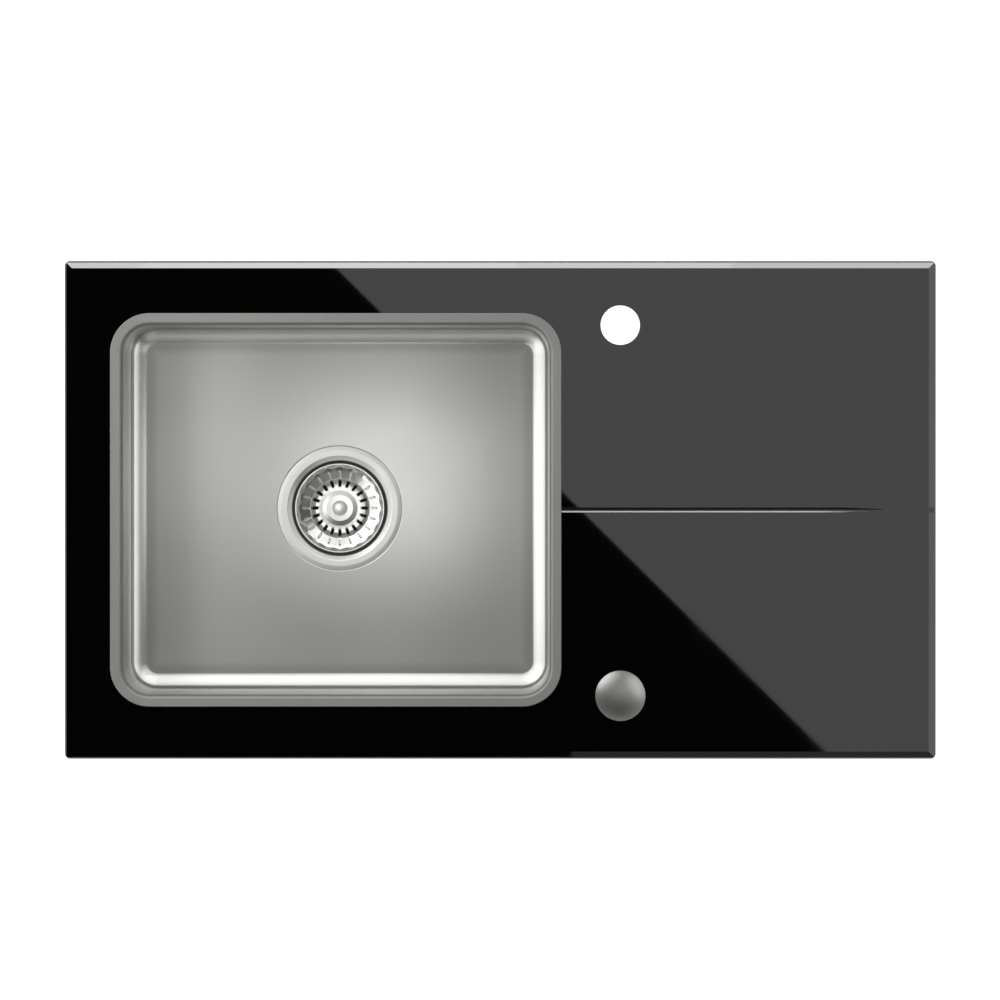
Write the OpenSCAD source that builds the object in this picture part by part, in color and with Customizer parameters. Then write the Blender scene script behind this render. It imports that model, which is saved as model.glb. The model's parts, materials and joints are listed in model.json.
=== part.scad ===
// Inset kitchen sink: black glass top with a pressed steel bowl on the left, a drain groove,
// a tap hole, and a turning knob that opens the basket strainer through a cable.
// Frame: X to the right, Y to the back, Z up. The origin is the plan centre of the glass,
// at the height of the worktop's upper face, where the seal strip rests.

/* [Glass top] */
// Width of the glass top, left to right
glass_w = 770; // [740:1:820]
// Depth of the glass top, front to back
glass_d = 440; // [425:1:480]
// Thickness of the glass
glass_t = 6; // [5:0.5:10]
// Plan radius of the glass corners
glass_corner_r = 4.5; // [2:0.5:8]
// Plan width of the main ground bevel
bevel_w = 5; // [3:0.5:7]
// Drop of the main ground bevel
bevel_drop = 2.2; // [1:0.1:2.6]
// Plan width of the outer arris, outside the main bevel
arris_w = 1.3; // [0.6:0.1:1.6]
// Radius of the tap hole
tap_hole_r = 17.5; // [16:0.25:18]
// Distance from the bowl's rim to the tap hole's centre, to the right
tap_x = 52; // [46:1:140]
// Distance of the tap hole's centre from the back edge of the glass
tap_inset = 56.7; // [50:0.1:66]
// Chamfer on the rims of the drilled holes
hole_chamfer = 0.5; // [0.2:0.1:1]
// Width of the drain groove
groove_w = 4.4; // [3:0.1:7]
// Depth of the drain groove
groove_depth = 1.1; // [0.6:0.1:1.4]
// Distance from the end of the drain groove to the right edge of the glass
groove_end_inset = 44; // [35:1:90]
// Length over which the drain groove runs out
groove_runout = 38; // [20:1:60]

/* [Bowl] */
// Width of the bowl's rim, left to right
bowl_w = 399; // [380:1:410]
// Depth of the bowl's rim, front to back
bowl_d = 348; // [330:1:352]
// Distance from the left edge of the glass to the bowl's rim
bowl_left = 40; // [36:1:48]
// Depth of the bowl below the rim
bowl_depth = 186; // [150:1:210]
// Plan radius of the rim's corners
bowl_corner_r = 35; // [32:1:50]
// Width of the flat part of the rim
rim_w = 7; // [5.5:0.5:9]
// Radius of the roll from the rim into the wall
roll_r = 3.2; // [2:0.1:5]
// Lean of the bowl's walls, in degrees
wall_draft = 0.3; // [0:0.1:1]
// Radius of the fillet between wall and floor
floor_fillet_r = 13.7; // [8:0.1:18]
// Thickness of the pressed sheet
sheet_t = 0.9; // [0.7:0.1:1.5]
// Thickness of the adhesive bead under the rim
bead_t = 0.3; // [0.2:0.1:1]
// Depth of the recess round the waste
recess_depth = 2; // [1.5:0.1:4]
// Thickness of the sound pads under the bowl's floor
pad_t = 2.5; // [1.5:0.5:5]

/* [Worktop and clips] */
// Overlap of the glass over the worktop on each side
overlap = 11; // [10:0.5:14]
// Thickness of the seal strip
seal_t = 1.5; // [1:0.1:4]
// Width of the seal strip
seal_w = 9; // [6:0.5:9.5]
// Height of the support frame
frame_h = 14; // [10:1:18]
// Width of the support frame's flanges
frame_flange_w = 16; // [15:0.5:17]
// Thickness of the support frame's sheet
frame_t = 1.2; // [0.8:0.1:2]
// Thickest worktop that the clips can hold
worktop_max = 40; // [38:1:45]
// Thinnest worktop that the clips can hold
worktop_min = 28; // [26:1:32]
// Radius of the clip screw
clip_screw_r = 2.5; // [2:0.25:2.75]
// Reach of a claw from its screw
claw_reach = 26; // [20:1:32]
// Distance of the left pair of clips from the middle
clip_left_x = -200; // [-240:1:-120]
// Distance of the right pair of clips from the middle
clip_right_x = 240; // [190:1:300]

/* [Waste] */
// Outer radius of the waste's flange
flange_r = 56.4; // [55:0.1:57.5]
// Height of the flange's crown above the floor
flange_crown = 0.7; // [0.2:0.1:1.5]
// Depth of the strainer cup below the floor
cup_depth = 25; // [23:0.5:30]
// Number of slots in the basket
slot_count = 20; // [12:1:24]
// Width of a slot in the basket
slot_w = 2.6; // [1.5:0.1:3.2]
// How far the knob lifts the basket
lift_travel = 8; // [5:0.5:9]
// Outer radius of the outlet's thread
outlet_r = 23.9; // [22:0.1:25]
// Length of the outlet's thread
outlet_len = 20; // [14:1:30]

/* [Control] */
// Distance of the knob's centre from the front edge of the glass
knob_inset = 55.9; // [53:0.1:62]
// Radius of the knob
knob_r = 22.1; // [21.5:0.1:26]
// Height of the knob's side
knob_side_h = 9; // [8:0.5:14]
// Height of the knob's dome above its side
knob_dome_h = 8; // [4:0.5:10]
// Angle through which the knob turns, in degrees
knob_turn = 90; // [60:1:95]
// Module of the knob's pinion
knob_module = 1; // [0.9:0.05:1.05]
// Module of the cam shaft's pinion
cam_module = 0.75; // [0.7:0.05:0.85]
// Outer radius of the cable's sheath
sheath_r = 2.5; // [2:0.1:3]
// Radius of the cable's inner wire
wire_r = 0.75; // [0.5:0.05:0.9]

/* [Hidden] */
$fn = 96;
tiny = 0.01;
run_gap = 0.05;
fit_gap = 0.1;
seat_gap = 0.3;
slide_gap = 0.15;

// Heights of the layers, from the worktop up
glass_z = seal_t;
top_z = glass_z + glass_t;
rim_z = top_z + bead_t + sheet_t;
floor_z = rim_z - bowl_depth;

// Radius of the drain groove's round bottom
groove_r = (groove_w * groove_w / 4 + groove_depth * groove_depth) / (2 * groove_depth);

// Plan places
bowl_x = -glass_w / 2 + bowl_left + bowl_w / 2;
tap_hole_x = bowl_x + bowl_w / 2 + tap_x;
tap_y = glass_d / 2 - tap_inset;
knob_x = tap_hole_x;
knob_y = -glass_d / 2 + knob_inset;

// Support frame, which drops into the worktop's cut-out
cutout_gap = 2;
frame_w = glass_w - 2 * (overlap + cutout_gap);
frame_d = glass_d - 2 * (overlap + cutout_gap);
frame_corner_r = 6;

// Bowl wall, measured inwards from the rim's edge and down from the rim's upper face
wall_run = (bowl_depth - (roll_r + floor_fillet_r) * (1 - sin(wall_draft))) / cos(wall_draft);
floor_inset = rim_w + (roll_r + floor_fillet_r) * cos(wall_draft) + wall_run * sin(wall_draft);
floor_corner_r = bowl_corner_r - floor_inset;
rim_edge_r = 0.7;
glass_cut_inset = 6.5;
bead_inset = 1.5;

// Waste, measured from its axis and from the bowl's floor
recess_gap = 0.7;
recess_r = flange_r + recess_gap;
recess_slope = 1.2;
waste_hole_r = 44.5;
cup_outer_r = 43.8;
flange_t = 0.8;
gasket_t = 0.8;
crown_r = 48;
seat_r = 39.8;
seat_w = -4;
cup_w = -cup_depth;
cup_floor_r = 27.5;
cup_bend = 1.5;
cup_hole_r = 4.5;
cup_hole_ring_r = 14.5;
cup_hole_count = 6;
body_gasket_t = 2;
body_flange_r = 54;
body_flange_t = 3;
body_wall = 2.7;
body_bore_r = 44.3;
chamber_r = 26;
cup_funnel_h = 6;
outlet_funnel_h = 9;
chamber_drop = 11;
shaft_drop = 41;
chamber_tail = 20;
chamber_top_w = cup_w - chamber_drop;
shaft_w = cup_w - shaft_drop;
chamber_end_w = shaft_w - chamber_tail;
outlet_bore_r = 19.5;
outlet_top_w = chamber_end_w - outlet_funnel_h;
outlet_end_w = outlet_top_w - outlet_len;
boss_r = 9;
boss_gap = 1.2;
boss_top_w = cup_w - flange_t - boss_gap;
boss_h = 13;
rib_drop = 4;
rib_t = 4;
shaft_boss_r = 7;
shaft_seal_len = 3;
shaft_seal_seat = shaft_seal_len + 0.2;
hollow_screw_r = 4;
hollow_head_r = 8;
hollow_head_h = 3;
pin_r = 2.5;
pin_tip_r = 1.2;
waste_x = bowl_x;
shaft_z = floor_z + shaft_w;

// Basket, measured from the bowl's floor
basket_t = 0.8;
lip_r = 40.9;
lip_w = -2.4;
cone_top_r = 36.2;
cone_top_w = -5.2;
crease_r = 23;
crease_w = -13.4;
slot_inner_r = 19.6;
slot_outer_r = 26.2;
raised_r = 14.2;
raised_h = 1.2;
basket_floor_w = crease_w - 0.4 + raised_h;
peg_r = 6.8;
peg_shank_r = 4;
peg_top_w = -3.6;
stopper_r = 25;
stopper_t = 2;
stopper_h = 6.2;
peg_end_w = cup_w + hollow_head_h + 1.4;
seal_ring_t = 1.9;

// Lift gear under the waste
shaft_r = 3;
shaft_blind = 3;
cam_base_r = 7.5;
cam_t = 8;
cam_gap = 0.4;
cam_margin = 8;
knob_teeth = 14;
cam_teeth = 14;
pressure_angle = 20;
tooth_backlash = 0.12;
knob_pitch_r = knob_module * knob_teeth / 2;
cam_pitch_r = cam_module * cam_teeth / 2;
rack_travel = knob_pitch_r * knob_turn * PI / 180;
cam_turn = rack_travel / cam_pitch_r * 180 / PI;
rack_back = 5;
rack_span = 11.1;
mesh_reach = 5;
rack_end = 7;
gear_t = 6;
gear_side_gap = 2;
case_wall = 1.8;
case_end = rack_end + rack_travel + slide_gap + case_wall;
ferrule_start = case_end - case_wall;
boss_end_y = 37;
gear_y = boss_end_y + case_wall + slide_gap;
case_low = -rack_end - rack_travel - slide_gap - 1;
lift_floor = -cam_pitch_r - 1.1 * cam_module - rack_back - slide_gap;
lift_roof = cam_pitch_r + 2.5;
lift_case_y = gear_y + rack_span + slide_gap;
cover_t = 2;
post_r = 3;
post_out = 2.2;
lift_post_x = 12;
control_post_y = 14;
cover_screw_r = 1.2;
cover_screw_len = 9;
cover_head_h = 1.4;
screw_tip_gap = 1.5;
pin_top_w = peg_end_w - seat_gap;
pin_tip_w = shaft_w + cam_base_r + cam_gap;

// Control under the knob
sleeve_r = tap_hole_r - 0.5;
sleeve_bottom_z = -21;
control_gasket_t = 1;
collar_r = 20;
collar_t = 2.5;
collar_z = top_z + control_gasket_t + collar_t;
spindle_r = 5;
pinion_seat_r = 4;
control_nut_t = 7;
control_nut_r = 25;
washer_r = 24;
washer_t = 1.5;
knob_floor_z = collar_z + seat_gap;
knob_skirt_z = top_z + 0.5;
knob_cavity_r = collar_r + 0.6;
knob_top_z = knob_skirt_z + knob_side_h;
spindle_top_z = knob_floor_z + 7;
set_screw_r = 1.5;
set_screw_len = 7;
set_screw_z = knob_floor_z + 2.6;
socket_r = 0.8;
socket_h = 1.5;
case_top_z = sleeve_bottom_z;
case_h = case_wall + rack_span + 2 * slide_gap;
rack_z = case_top_z - case_wall - slide_gap - rack_span / 2;
case_ring_h = 9;
case_ring_t = 2;
case_x_low = -knob_pitch_r - 0.9 * knob_module - 1;
case_x_high = knob_pitch_r + 1.1 * knob_module + rack_back + slide_gap;

// Cable
ferrule_r = 3.6;
ferrule_len = 24;
ferrule_bore_r = wire_r + 0.15;
socket_depth = 6;
wire_hold = 4;
wire_len = rack_travel + 5 + 2 * slide_gap + wire_hold;
cable_sides = 10;
cable_steps = 3;
wire_line = 3.3;
cable_start = [
    knob_x + knob_pitch_r + wire_line,
    knob_y + ferrule_start + ferrule_len - socket_depth,
    rack_z
];
cable_end = [
    waste_x + ferrule_start + ferrule_len - socket_depth,
    -gear_y - rack_span / 2,
    shaft_z - cam_pitch_r - wire_line
];
// The sheath's bend, as shares of the way from its end at the waste to its start at the knob
cable_bend = [
    [0.999, 0.629, 0.989], [0.990, 0.413, 0.957], [0.977, 0.234, 0.904],
    [0.959, 0.114, 0.828], [0.937, 0.042, 0.743], [0.910, 0.006, 0.649],
    [0.879, -0.006, 0.550], [0.839, -0.006, 0.452], [0.790, -0.006, 0.353],
    [0.728, -0.006, 0.259], [0.653, -0.006, 0.174], [0.564, -0.006, 0.102],
    [0.462, -0.006, 0.049], [0.352, -0.006, 0.015], [0.236, -0.006, 0.001]
];
cable_points = concat(
    [cable_start, cable_start + [0, 10, 0]],
    [
        for (share = cable_bend)
            [for (k = [0 : 2]) cable_end[k] + share[k] * (cable_start[k] - cable_end[k])]
    ],
    [cable_end + [25, 0, 0], cable_end]
);

// Clips
clip_inset = 9;
nut_r = 6;
nut_h = 5;
claw_t = 2.5;
claw_half_w = 7;
tooth_h = 3;
clip_head_r = 4.6;
clip_head_h = 3;
screw_slot_w = 1.2;
clip_hole_gap = 0.8;
clip_slack = 0.5;
clip_travel = worktop_max - worktop_min + clip_slack;
claw_z = -worktop_max - clip_slack - tooth_h;
flange_bottom_z = glass_z - frame_h;
clip_side_x = frame_w / 2 - clip_inset;
clip_side_y = frame_d / 2 - clip_inset;
// Each clip: its place, and the turn that points its swung-out claw at the nearest edge
clips = [
    [[clip_left_x, -clip_side_y], 0],
    [[clip_right_x, -clip_side_y], 0],
    [[clip_side_x, 0], 90],
    [[clip_right_x, clip_side_y], 180],
    [[clip_left_x, clip_side_y], 180],
    [[-clip_side_x, 0], 270]
];

// Finishes
black_glass = [0.02, 0.02, 0.022];
steel = [0.72, 0.72, 0.70];
satin_steel = [0.62, 0.62, 0.60];
zinc = [0.66, 0.68, 0.70];
black_rubber = [0.05, 0.05, 0.05];
dark_plastic = [0.13, 0.13, 0.14];
grey_plastic = [0.45, 0.46, 0.47];
white_plastic = [0.88, 0.88, 0.86];
brass = [0.75, 0.60, 0.30];

// Plain shapes that several sub-parts share

// A rectangle with round corners, centred
module round_rect(w, d, r) {
    square([w - 2 * r, d], center = true);
    square([w, d - 2 * r], center = true);
    for (x = [-1, 1], y = [-1, 1])
        translate([x * (w / 2 - r), y * (d / 2 - r)])
            circle(r);
}

// A flat ring between two rectangles with round corners
module rect_ring(w, d, r, band) {
    difference() {
        round_rect(w, d, r);
        round_rect(w - 2 * band, d - 2 * band, max(r - band, 0.5));
    }
}

// A round tube or washer standing on z
module tube(outer, inner, z, h) {
    translate([0, 0, z])
        difference() {
            cylinder(r = outer, h = h);
            translate([0, 0, -1])
                cylinder(r = inner, h = h + 2);
        }
}

// A solid disc or rod standing on z
module rod(r, z, h) {
    translate([0, 0, z])
        cylinder(r = r, h = h);
}

// A profile in radius and height, turned about the waste's axis, with z = 0 at the bowl's floor
module turned_at_waste() {
    translate([waste_x, 0, floor_z])
        rotate_extrude()
            children();
}

module at_waste() {
    translate([waste_x, 0, floor_z])
        children();
}

module at_shaft() {
    translate([waste_x, 0, shaft_z])
        children();
}

module at_knob() {
    translate([knob_x, knob_y, 0])
        children();
}

module at_clip(i) {
    translate([clips[i][0][0], clips[i][0][1], 0])
        rotate([0, 0, clips[i][1]])
            children();
}

// Gear teeth

function involute_angle(a) = tan(a) * 180 / PI - a;

// Half the angle that a tooth takes up at radius r
function tooth_half_angle(r, pitch_r, teeth) =
    90 / teeth - tooth_backlash / 2 / pitch_r * 180 / PI + involute_angle(pressure_angle)
    - involute_angle(acos(min(1, pitch_r * cos(pressure_angle) / r)));

// Outline of a pinion with involute teeth and its first tooth along +X
function pinion_points(pitch_r, module_mm, teeth) =
    let (
        root_r = pitch_r - 1.1 * module_mm,
        tip_r = pitch_r + 0.9 * module_mm,
        base_r = pitch_r * cos(pressure_angle),
        radii = concat([root_r], [for (i = [0 : 4]) base_r + (tip_r - base_r) * i / 4])
    )
    [
        for (n = [0 : teeth - 1], side = [-1, 1], k = [0 : 5])
            let (
                r = radii[side < 0 ? k : 5 - k],
                a = n * 360 / teeth + side * tooth_half_angle(max(r, base_r), pitch_r, teeth)
            )
            r * [cos(a), sin(a)]
    ];

// Outline of a rack along +Y: pitch line at x = 0, teeth towards -X, a gap centred on y = 0,
// toothed from tooth_from to tooth_to, with its back bar from bar_from to bar_to
module rack_outline(module_mm, tooth_from, tooth_to, bar_from, bar_to) {
    pitch = PI * module_mm;
    tip = 0.75 * module_mm;
    root = 1.1 * module_mm;
    half = pitch / 4 - tooth_backlash / 2;
    lean = tan(pressure_angle);
    first = ceil(tooth_from / pitch - 0.5);
    last = floor(tooth_to / pitch - 0.5);
    translate([root, bar_from])
        square([rack_back, bar_to - bar_from]);
    for (n = [first : last])
        translate([0, (n + 0.5) * pitch])
            polygon([
                [root + 1, half + root * lean], [root, half + root * lean],
                [-tip, half - tip * lean], [-tip, -half + tip * lean],
                [root, -half - root * lean], [root + 1, -half - root * lean]
            ]);
}

// Glass top

// One ground edge, drawn along X at the middle of the side whose outward direction is -Y
module ground_edge(length, half_depth) {
    arris_drop = arris_w;
    lower_z = top_z - bevel_drop - arris_drop;
    translate([-length / 2, 0, 0])
        rotate([90, 0, 90])
            linear_extrude(length)
                polygon([
                    [-half_depth + arris_w + bevel_w, top_z],
                    [-half_depth + arris_w, top_z - bevel_drop],
                    [-half_depth, lower_z],
                    [-half_depth - 1, lower_z - 1],
                    [-half_depth - 1, top_z + 1],
                    [-half_depth + arris_w + bevel_w, top_z + 1]
                ]);
}

// A drilled hole through the glass with chamfered rims
module glass_hole(r) {
    rod(r, glass_z - 1, glass_t + 2);
    translate([0, 0, top_z - hole_chamfer])
        cylinder(r1 = r, r2 = r + 2 * hole_chamfer, h = 2 * hole_chamfer);
    translate([0, 0, glass_z - hole_chamfer])
        cylinder(r1 = r + 2 * hole_chamfer, r2 = r, h = 2 * hole_chamfer);
}

// The round-bottomed drain groove, which runs out towards the right in a cone
module drain_groove() {
    start_x = bowl_x + bowl_w / 2 - glass_cut_inset - 2;
    end_x = glass_w / 2 - groove_end_inset;
    bend_x = end_x - groove_runout;
    axis_z = top_z - groove_depth + groove_r;
    past = 1.25;
    translate([start_x, 0, axis_z])
        rotate([0, 90, 0])
            cylinder(r = groove_r, h = bend_x - start_x);
    translate([bend_x, 0, axis_z])
        rotate([0, 90, 0])
            cylinder(r1 = groove_r, r2 = groove_r - past * groove_depth, h = past * groove_runout);
}

module glass_top() {
    color(black_glass)
        difference() {
            translate([0, 0, glass_z])
                linear_extrude(glass_t)
                    round_rect(glass_w, glass_d, glass_corner_r);
            for (turn = [0, 180])
                rotate([0, 0, turn])
                    ground_edge(glass_w + 10, glass_d / 2);
            for (turn = [90, 270])
                rotate([0, 0, turn])
                    ground_edge(glass_d + 10, glass_w / 2);
            translate([bowl_x, 0, glass_z - 1])
                linear_extrude(glass_t + 2)
                    round_rect(bowl_w - 2 * glass_cut_inset, bowl_d - 2 * glass_cut_inset,
                        bowl_corner_r - glass_cut_inset);
            translate([tap_hole_x, tap_y, 0])
                glass_hole(tap_hole_r);
            at_knob()
                glass_hole(tap_hole_r);
            drain_groove();
        }
}

// Foam strip that seals the glass to the worktop
module seal_strip() {
    edge = 1.5;
    corner_r = glass_corner_r + 3;
    color(black_rubber)
        linear_extrude(seal_t)
            rect_ring(glass_w - 2 * edge, glass_d - 2 * edge, corner_r, seal_w);
}

// Folded steel channel, bonded under the glass inside the worktop's cut-out
module support_frame() {
    web_w = frame_w - 2 * frame_t;
    web_d = frame_d - 2 * frame_t;
    color(zinc)
        difference() {
            translate([0, 0, flange_bottom_z])
                linear_extrude(frame_h)
                    rect_ring(frame_w, frame_d, frame_corner_r, frame_flange_w);
            translate([0, 0, flange_bottom_z + frame_t])
                linear_extrude(frame_h - 2 * frame_t)
                    round_rect(web_w, web_d, frame_corner_r - frame_t);
            for (i = [0 : len(clips) - 1])
                at_clip(i)
                    rod(clip_screw_r + clip_hole_gap, flange_bottom_z - 1, frame_t + 2);
        }
}

// Weld nuts under the frame's lower flange, one for each clip
module clip_nuts() {
    color(zinc)
        for (i = [0 : len(clips) - 1])
            at_clip(i)
                tube(nut_r, clip_screw_r + run_gap, flange_bottom_z - nut_h, nut_h);
}

// Clip screw with a slotted head below its claw
module clip_screw(i) {
    head_z = claw_z - run_gap - clip_head_h;
    shank_top_z = glass_z - frame_t - clip_travel - clip_slack;
    color(steel)
        at_clip(i)
            difference() {
                union() {
                    rod(clip_screw_r, head_z + clip_head_h - tiny, shank_top_z - head_z - clip_head_h);
                    rod(clip_head_r, head_z, clip_head_h);
                }
                translate([-clip_head_r - 1, -screw_slot_w / 2, head_z - 1])
                    cube([2 * clip_head_r + 2, screw_slot_w, 1 + screw_slot_w]);
            }
}

// Claw that swings out under the worktop, with an upturned toothed end
module clip_claw(i) {
    notch = 1.6;
    color(zinc)
        at_clip(i)
            difference() {
                union() {
                    rod(claw_half_w, claw_z, claw_t);
                    translate([0, -claw_half_w, claw_z])
                        cube([claw_reach, 2 * claw_half_w, claw_t]);
                    translate([claw_reach - claw_t, -claw_half_w, claw_z])
                        cube([claw_t, 2 * claw_half_w, tooth_h]);
                }
                rod(clip_screw_r + run_gap, claw_z - 1, claw_t + 2);
                for (y = [-3, 0, 3])
                    translate([claw_reach - claw_t - 1, y, claw_z + tooth_h])
                        rotate([45, 0, 0])
                            translate([0, -notch / 2, -notch / 2])
                                cube([claw_t + 2, notch, notch]);
            }
}

// Bowl

// Region under the bowl's inner skin, taken s into the sheet:
// x inwards from the rim's edge, y up from the rim's upper face
module under_skin(s) {
    roll_c = [rim_w, -roll_r];
    fillet_c = [floor_inset, floor_fillet_r - bowl_depth];
    wall_dir = [cos(wall_draft), sin(wall_draft)];
    p1 = roll_c + (roll_r - s) * wall_dir;
    p2 = fillet_c - (floor_fillet_r + s) * wall_dir;
    floor_y = -bowl_depth - s;
    corner = [p2[0] + (p2[1] - floor_y) * tan(wall_draft), floor_y];
    below = -bowl_depth - 5;
    polygon([
        [0, -s], [rim_w, -s], roll_c, p1, p2, corner, [floor_inset, floor_y],
        [floor_inset, below], [0, below]
    ]);
    translate(roll_c)
        circle(roll_r - s);
    difference() {
        polygon([p2, corner, [floor_inset, floor_y]]);
        translate(fillet_c)
            circle(floor_fillet_r + s);
    }
}

// Section of the pressed sheet from the rim's edge to the start of the floor
module wall_section() {
    difference() {
        under_skin(0);
        under_skin(sheet_t);
        difference() {
            translate([-1, -rim_edge_r])
                square([rim_edge_r + 1, rim_edge_r + 1]);
            translate([rim_edge_r, -rim_edge_r])
                circle(rim_edge_r);
        }
    }
}

module wall_side(length) {
    rotate([90, 0, 90])
        translate([0, 0, -length / 2])
            linear_extrude(length)
                wall_section();
}

module bowl() {
    flat_w = bowl_w - 2 * bowl_corner_r;
    flat_d = bowl_d - 2 * bowl_corner_r;
    notch_len = 2.4;
    color(steel)
        difference() {
            union() {
                translate([bowl_x, 0, rim_z]) {
                    for (turn = [0, 180])
                        rotate([0, 0, turn])
                            translate([0, -bowl_d / 2, 0])
                                wall_side(flat_w);
                    for (turn = [90, 270])
                        rotate([0, 0, turn])
                            translate([0, -bowl_w / 2, 0])
                                wall_side(flat_d);
                    for (q = [0 : 3])
                        translate([
                            (q == 0 || q == 3 ? 1 : -1) * flat_w / 2,
                            (q < 2 ? 1 : -1) * flat_d / 2,
                            0
                        ])
                            rotate([0, 0, 90 * q])
                                rotate_extrude(angle = 90)
                                    translate([bowl_corner_r, 0])
                                        mirror([1, 0])
                                            wall_section();
                    translate([0, 0, -bowl_depth - sheet_t])
                        linear_extrude(sheet_t)
                            round_rect(bowl_w - 2 * floor_inset, bowl_d - 2 * floor_inset,
                                floor_corner_r);
                }
                at_waste()
                    rod(recess_r + recess_slope + sheet_t, -recess_depth - sheet_t, recess_depth);
            }
            at_waste() {
                translate([0, 0, -recess_depth])
                    cylinder(r1 = recess_r, r2 = recess_r + recess_slope, h = recess_depth);
                rod(recess_r + recess_slope, -tiny, 1);
                rod(waste_hole_r, -20, 30);
            }
            translate([bowl_x + bowl_w / 2 - notch_len, 0, rim_z - groove_depth + groove_r])
                rotate([0, 90, 0])
                    cylinder(r = groove_r, h = notch_len + 2);
        }
}

// Adhesive bead between the rim and the glass
module rim_bead() {
    w = bowl_w - 2 * bead_inset;
    d = bowl_d - 2 * bead_inset;
    color(dark_plastic)
        translate([bowl_x, 0, top_z])
            linear_extrude(bead_t)
                difference() {
                    round_rect(w, d, bowl_corner_r - bead_inset);
                    round_rect(bowl_w - 2 * glass_cut_inset, bowl_d - 2 * glass_cut_inset,
                        bowl_corner_r - glass_cut_inset);
                    translate([w / 2 - 3, -groove_w / 2])
                        square([6, groove_w]);
                }
}

// Sound-deadening pads stuck under the bowl's floor
module sound_pads() {
    pad_w = 90;
    pad_d = 200;
    pad_corner_r = 12;
    waste_gap = 16;
    pad_x = body_flange_r + waste_gap + pad_w / 2;
    color(dark_plastic)
        for (side = [-1, 1])
            translate([bowl_x + side * pad_x, 0, floor_z - sheet_t - pad_t])
                linear_extrude(pad_t)
                    round_rect(pad_w, pad_d, pad_corner_r);
}

// Waste

module flange_gasket() {
    edge = 1.5;
    color(black_rubber)
        at_waste()
            tube(flange_r - edge, waste_hole_r + 1, -recess_depth, gasket_t);
}

// Section of the waste's flange and strainer cup, in radius and height from the bowl's floor
module cup_section() {
    lip_under = gasket_t - recess_depth;
    polygon([
        [flange_r, lip_under],
        [flange_r, lip_under + 0.5],
        [crown_r + 4, flange_crown - 0.35],
        [crown_r + 1, flange_crown],
        [crown_r - 1, flange_crown - 0.1],
        [cup_outer_r + 2.4, flange_crown - 0.25],
        [cup_outer_r + 1.1, flange_crown - 0.75],
        [cup_outer_r - 0.4, -0.9],
        [cup_outer_r - flange_t, -1.8],
        [cup_outer_r - flange_t, seat_w],
        [seat_r, seat_w],
        [seat_r - cup_bend, seat_w - cup_bend],
        [cup_floor_r + cup_bend, cup_w + cup_bend],
        [cup_floor_r, cup_w],
        [hollow_screw_r + run_gap, cup_w],
        [hollow_screw_r + run_gap, cup_w - flange_t],
        [cup_floor_r + 0.5, cup_w - flange_t],
        [cup_floor_r + cup_bend + 1, cup_w + 1],
        [seat_r - 0.6, seat_w - 2.4],
        [seat_r + 0.6, seat_w - flange_t],
        [cup_outer_r, seat_w - flange_t],
        [cup_outer_r, lip_under]
    ]);
}

module waste_flange() {
    color(steel)
        difference() {
            turned_at_waste()
                cup_section();
            at_waste()
                for (n = [0 : cup_hole_count - 1])
                    rotate([0, 0, (n + 0.5) * 360 / cup_hole_count])
                        translate([cup_hole_ring_r, 0, 0])
                            rod(cup_hole_r, cup_w - 3, 6);
        }
}

module body_gasket() {
    color(black_rubber)
        at_waste()
            tube(body_flange_r - 1, body_bore_r + 0.4, -recess_depth - sheet_t - body_gasket_t,
                body_gasket_t);
}

// Outline of the waste body in radius and height, grown outwards by wall
module body_outline(wall, outlet, low_w, high_w) {
    cup_end_w = chamber_top_w + cup_funnel_h;
    polygon([
        [0, low_w],
        [outlet, low_w],
        [outlet, outlet_top_w],
        [chamber_r + wall, chamber_end_w],
        [chamber_r + wall, chamber_top_w],
        [body_bore_r + wall, cup_end_w],
        [body_bore_r + wall, high_w],
        [0, high_w]
    ]);
}

// Moulded waste body: flange, cup, cam chamber and threaded outlet, with a ribbed centre boss
module waste_body() {
    top_w = -recess_depth - sheet_t - body_gasket_t;
    color(dark_plastic)
        difference() {
            union() {
                turned_at_waste()
                    body_outline(body_wall, outlet_r, outlet_end_w, top_w);
                at_waste() {
                    rod(body_flange_r, top_w - body_flange_t, body_flange_t);
                    translate([0, boss_end_y, shaft_w])
                        rotate([90, 0, 0])
                            cylinder(r = shaft_boss_r, h = 2 * boss_end_y);
                }
            }
            difference() {
                turned_at_waste()
                    body_outline(0, outlet_bore_r, outlet_end_w - 1, top_w + 1);
                at_waste() {
                    rod(boss_r, boss_top_w - boss_h, boss_h);
                    for (n = [0 : 2])
                        rotate([0, 0, 120 * n])
                            translate([0, -rib_t / 2, boss_top_w - boss_h])
                                cube([body_bore_r + 1, rib_t, boss_h - rib_drop]);
                }
            }
            at_waste() {
                rod(hollow_screw_r + run_gap, boss_top_w - boss_h - 1, boss_h + 2);
                translate([0, boss_end_y - shaft_blind, shaft_w])
                    rotate([90, 0, 0])
                        cylinder(r = shaft_r + run_gap, h = 2 * boss_end_y);
                translate([0, shaft_seal_seat - boss_end_y, shaft_w])
                    rotate([90, 0, 0])
                        cylinder(r = shaft_r + 2, h = shaft_seal_seat + 1);
            }
        }
}

// Hollow screw that clamps the flange to the body and guides the lift pin
module hollow_screw() {
    slot = 1.5;
    color(brass)
        at_waste()
            difference() {
                union() {
                    rod(hollow_head_r, cup_w, hollow_head_h);
                    rod(hollow_screw_r, boss_top_w - boss_h, cup_w - boss_top_w + boss_h + tiny);
                }
                rod(pin_r + run_gap, boss_top_w - boss_h - 1, boss_h + hollow_head_h + 5);
                for (turn = [0, 90])
                    rotate([0, 0, turn])
                        translate([-hollow_head_r - 1, -slot / 2, cup_w + hollow_head_h - 1])
                            cube([2 * hollow_head_r + 2, slot, 2]);
            }
}

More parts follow.
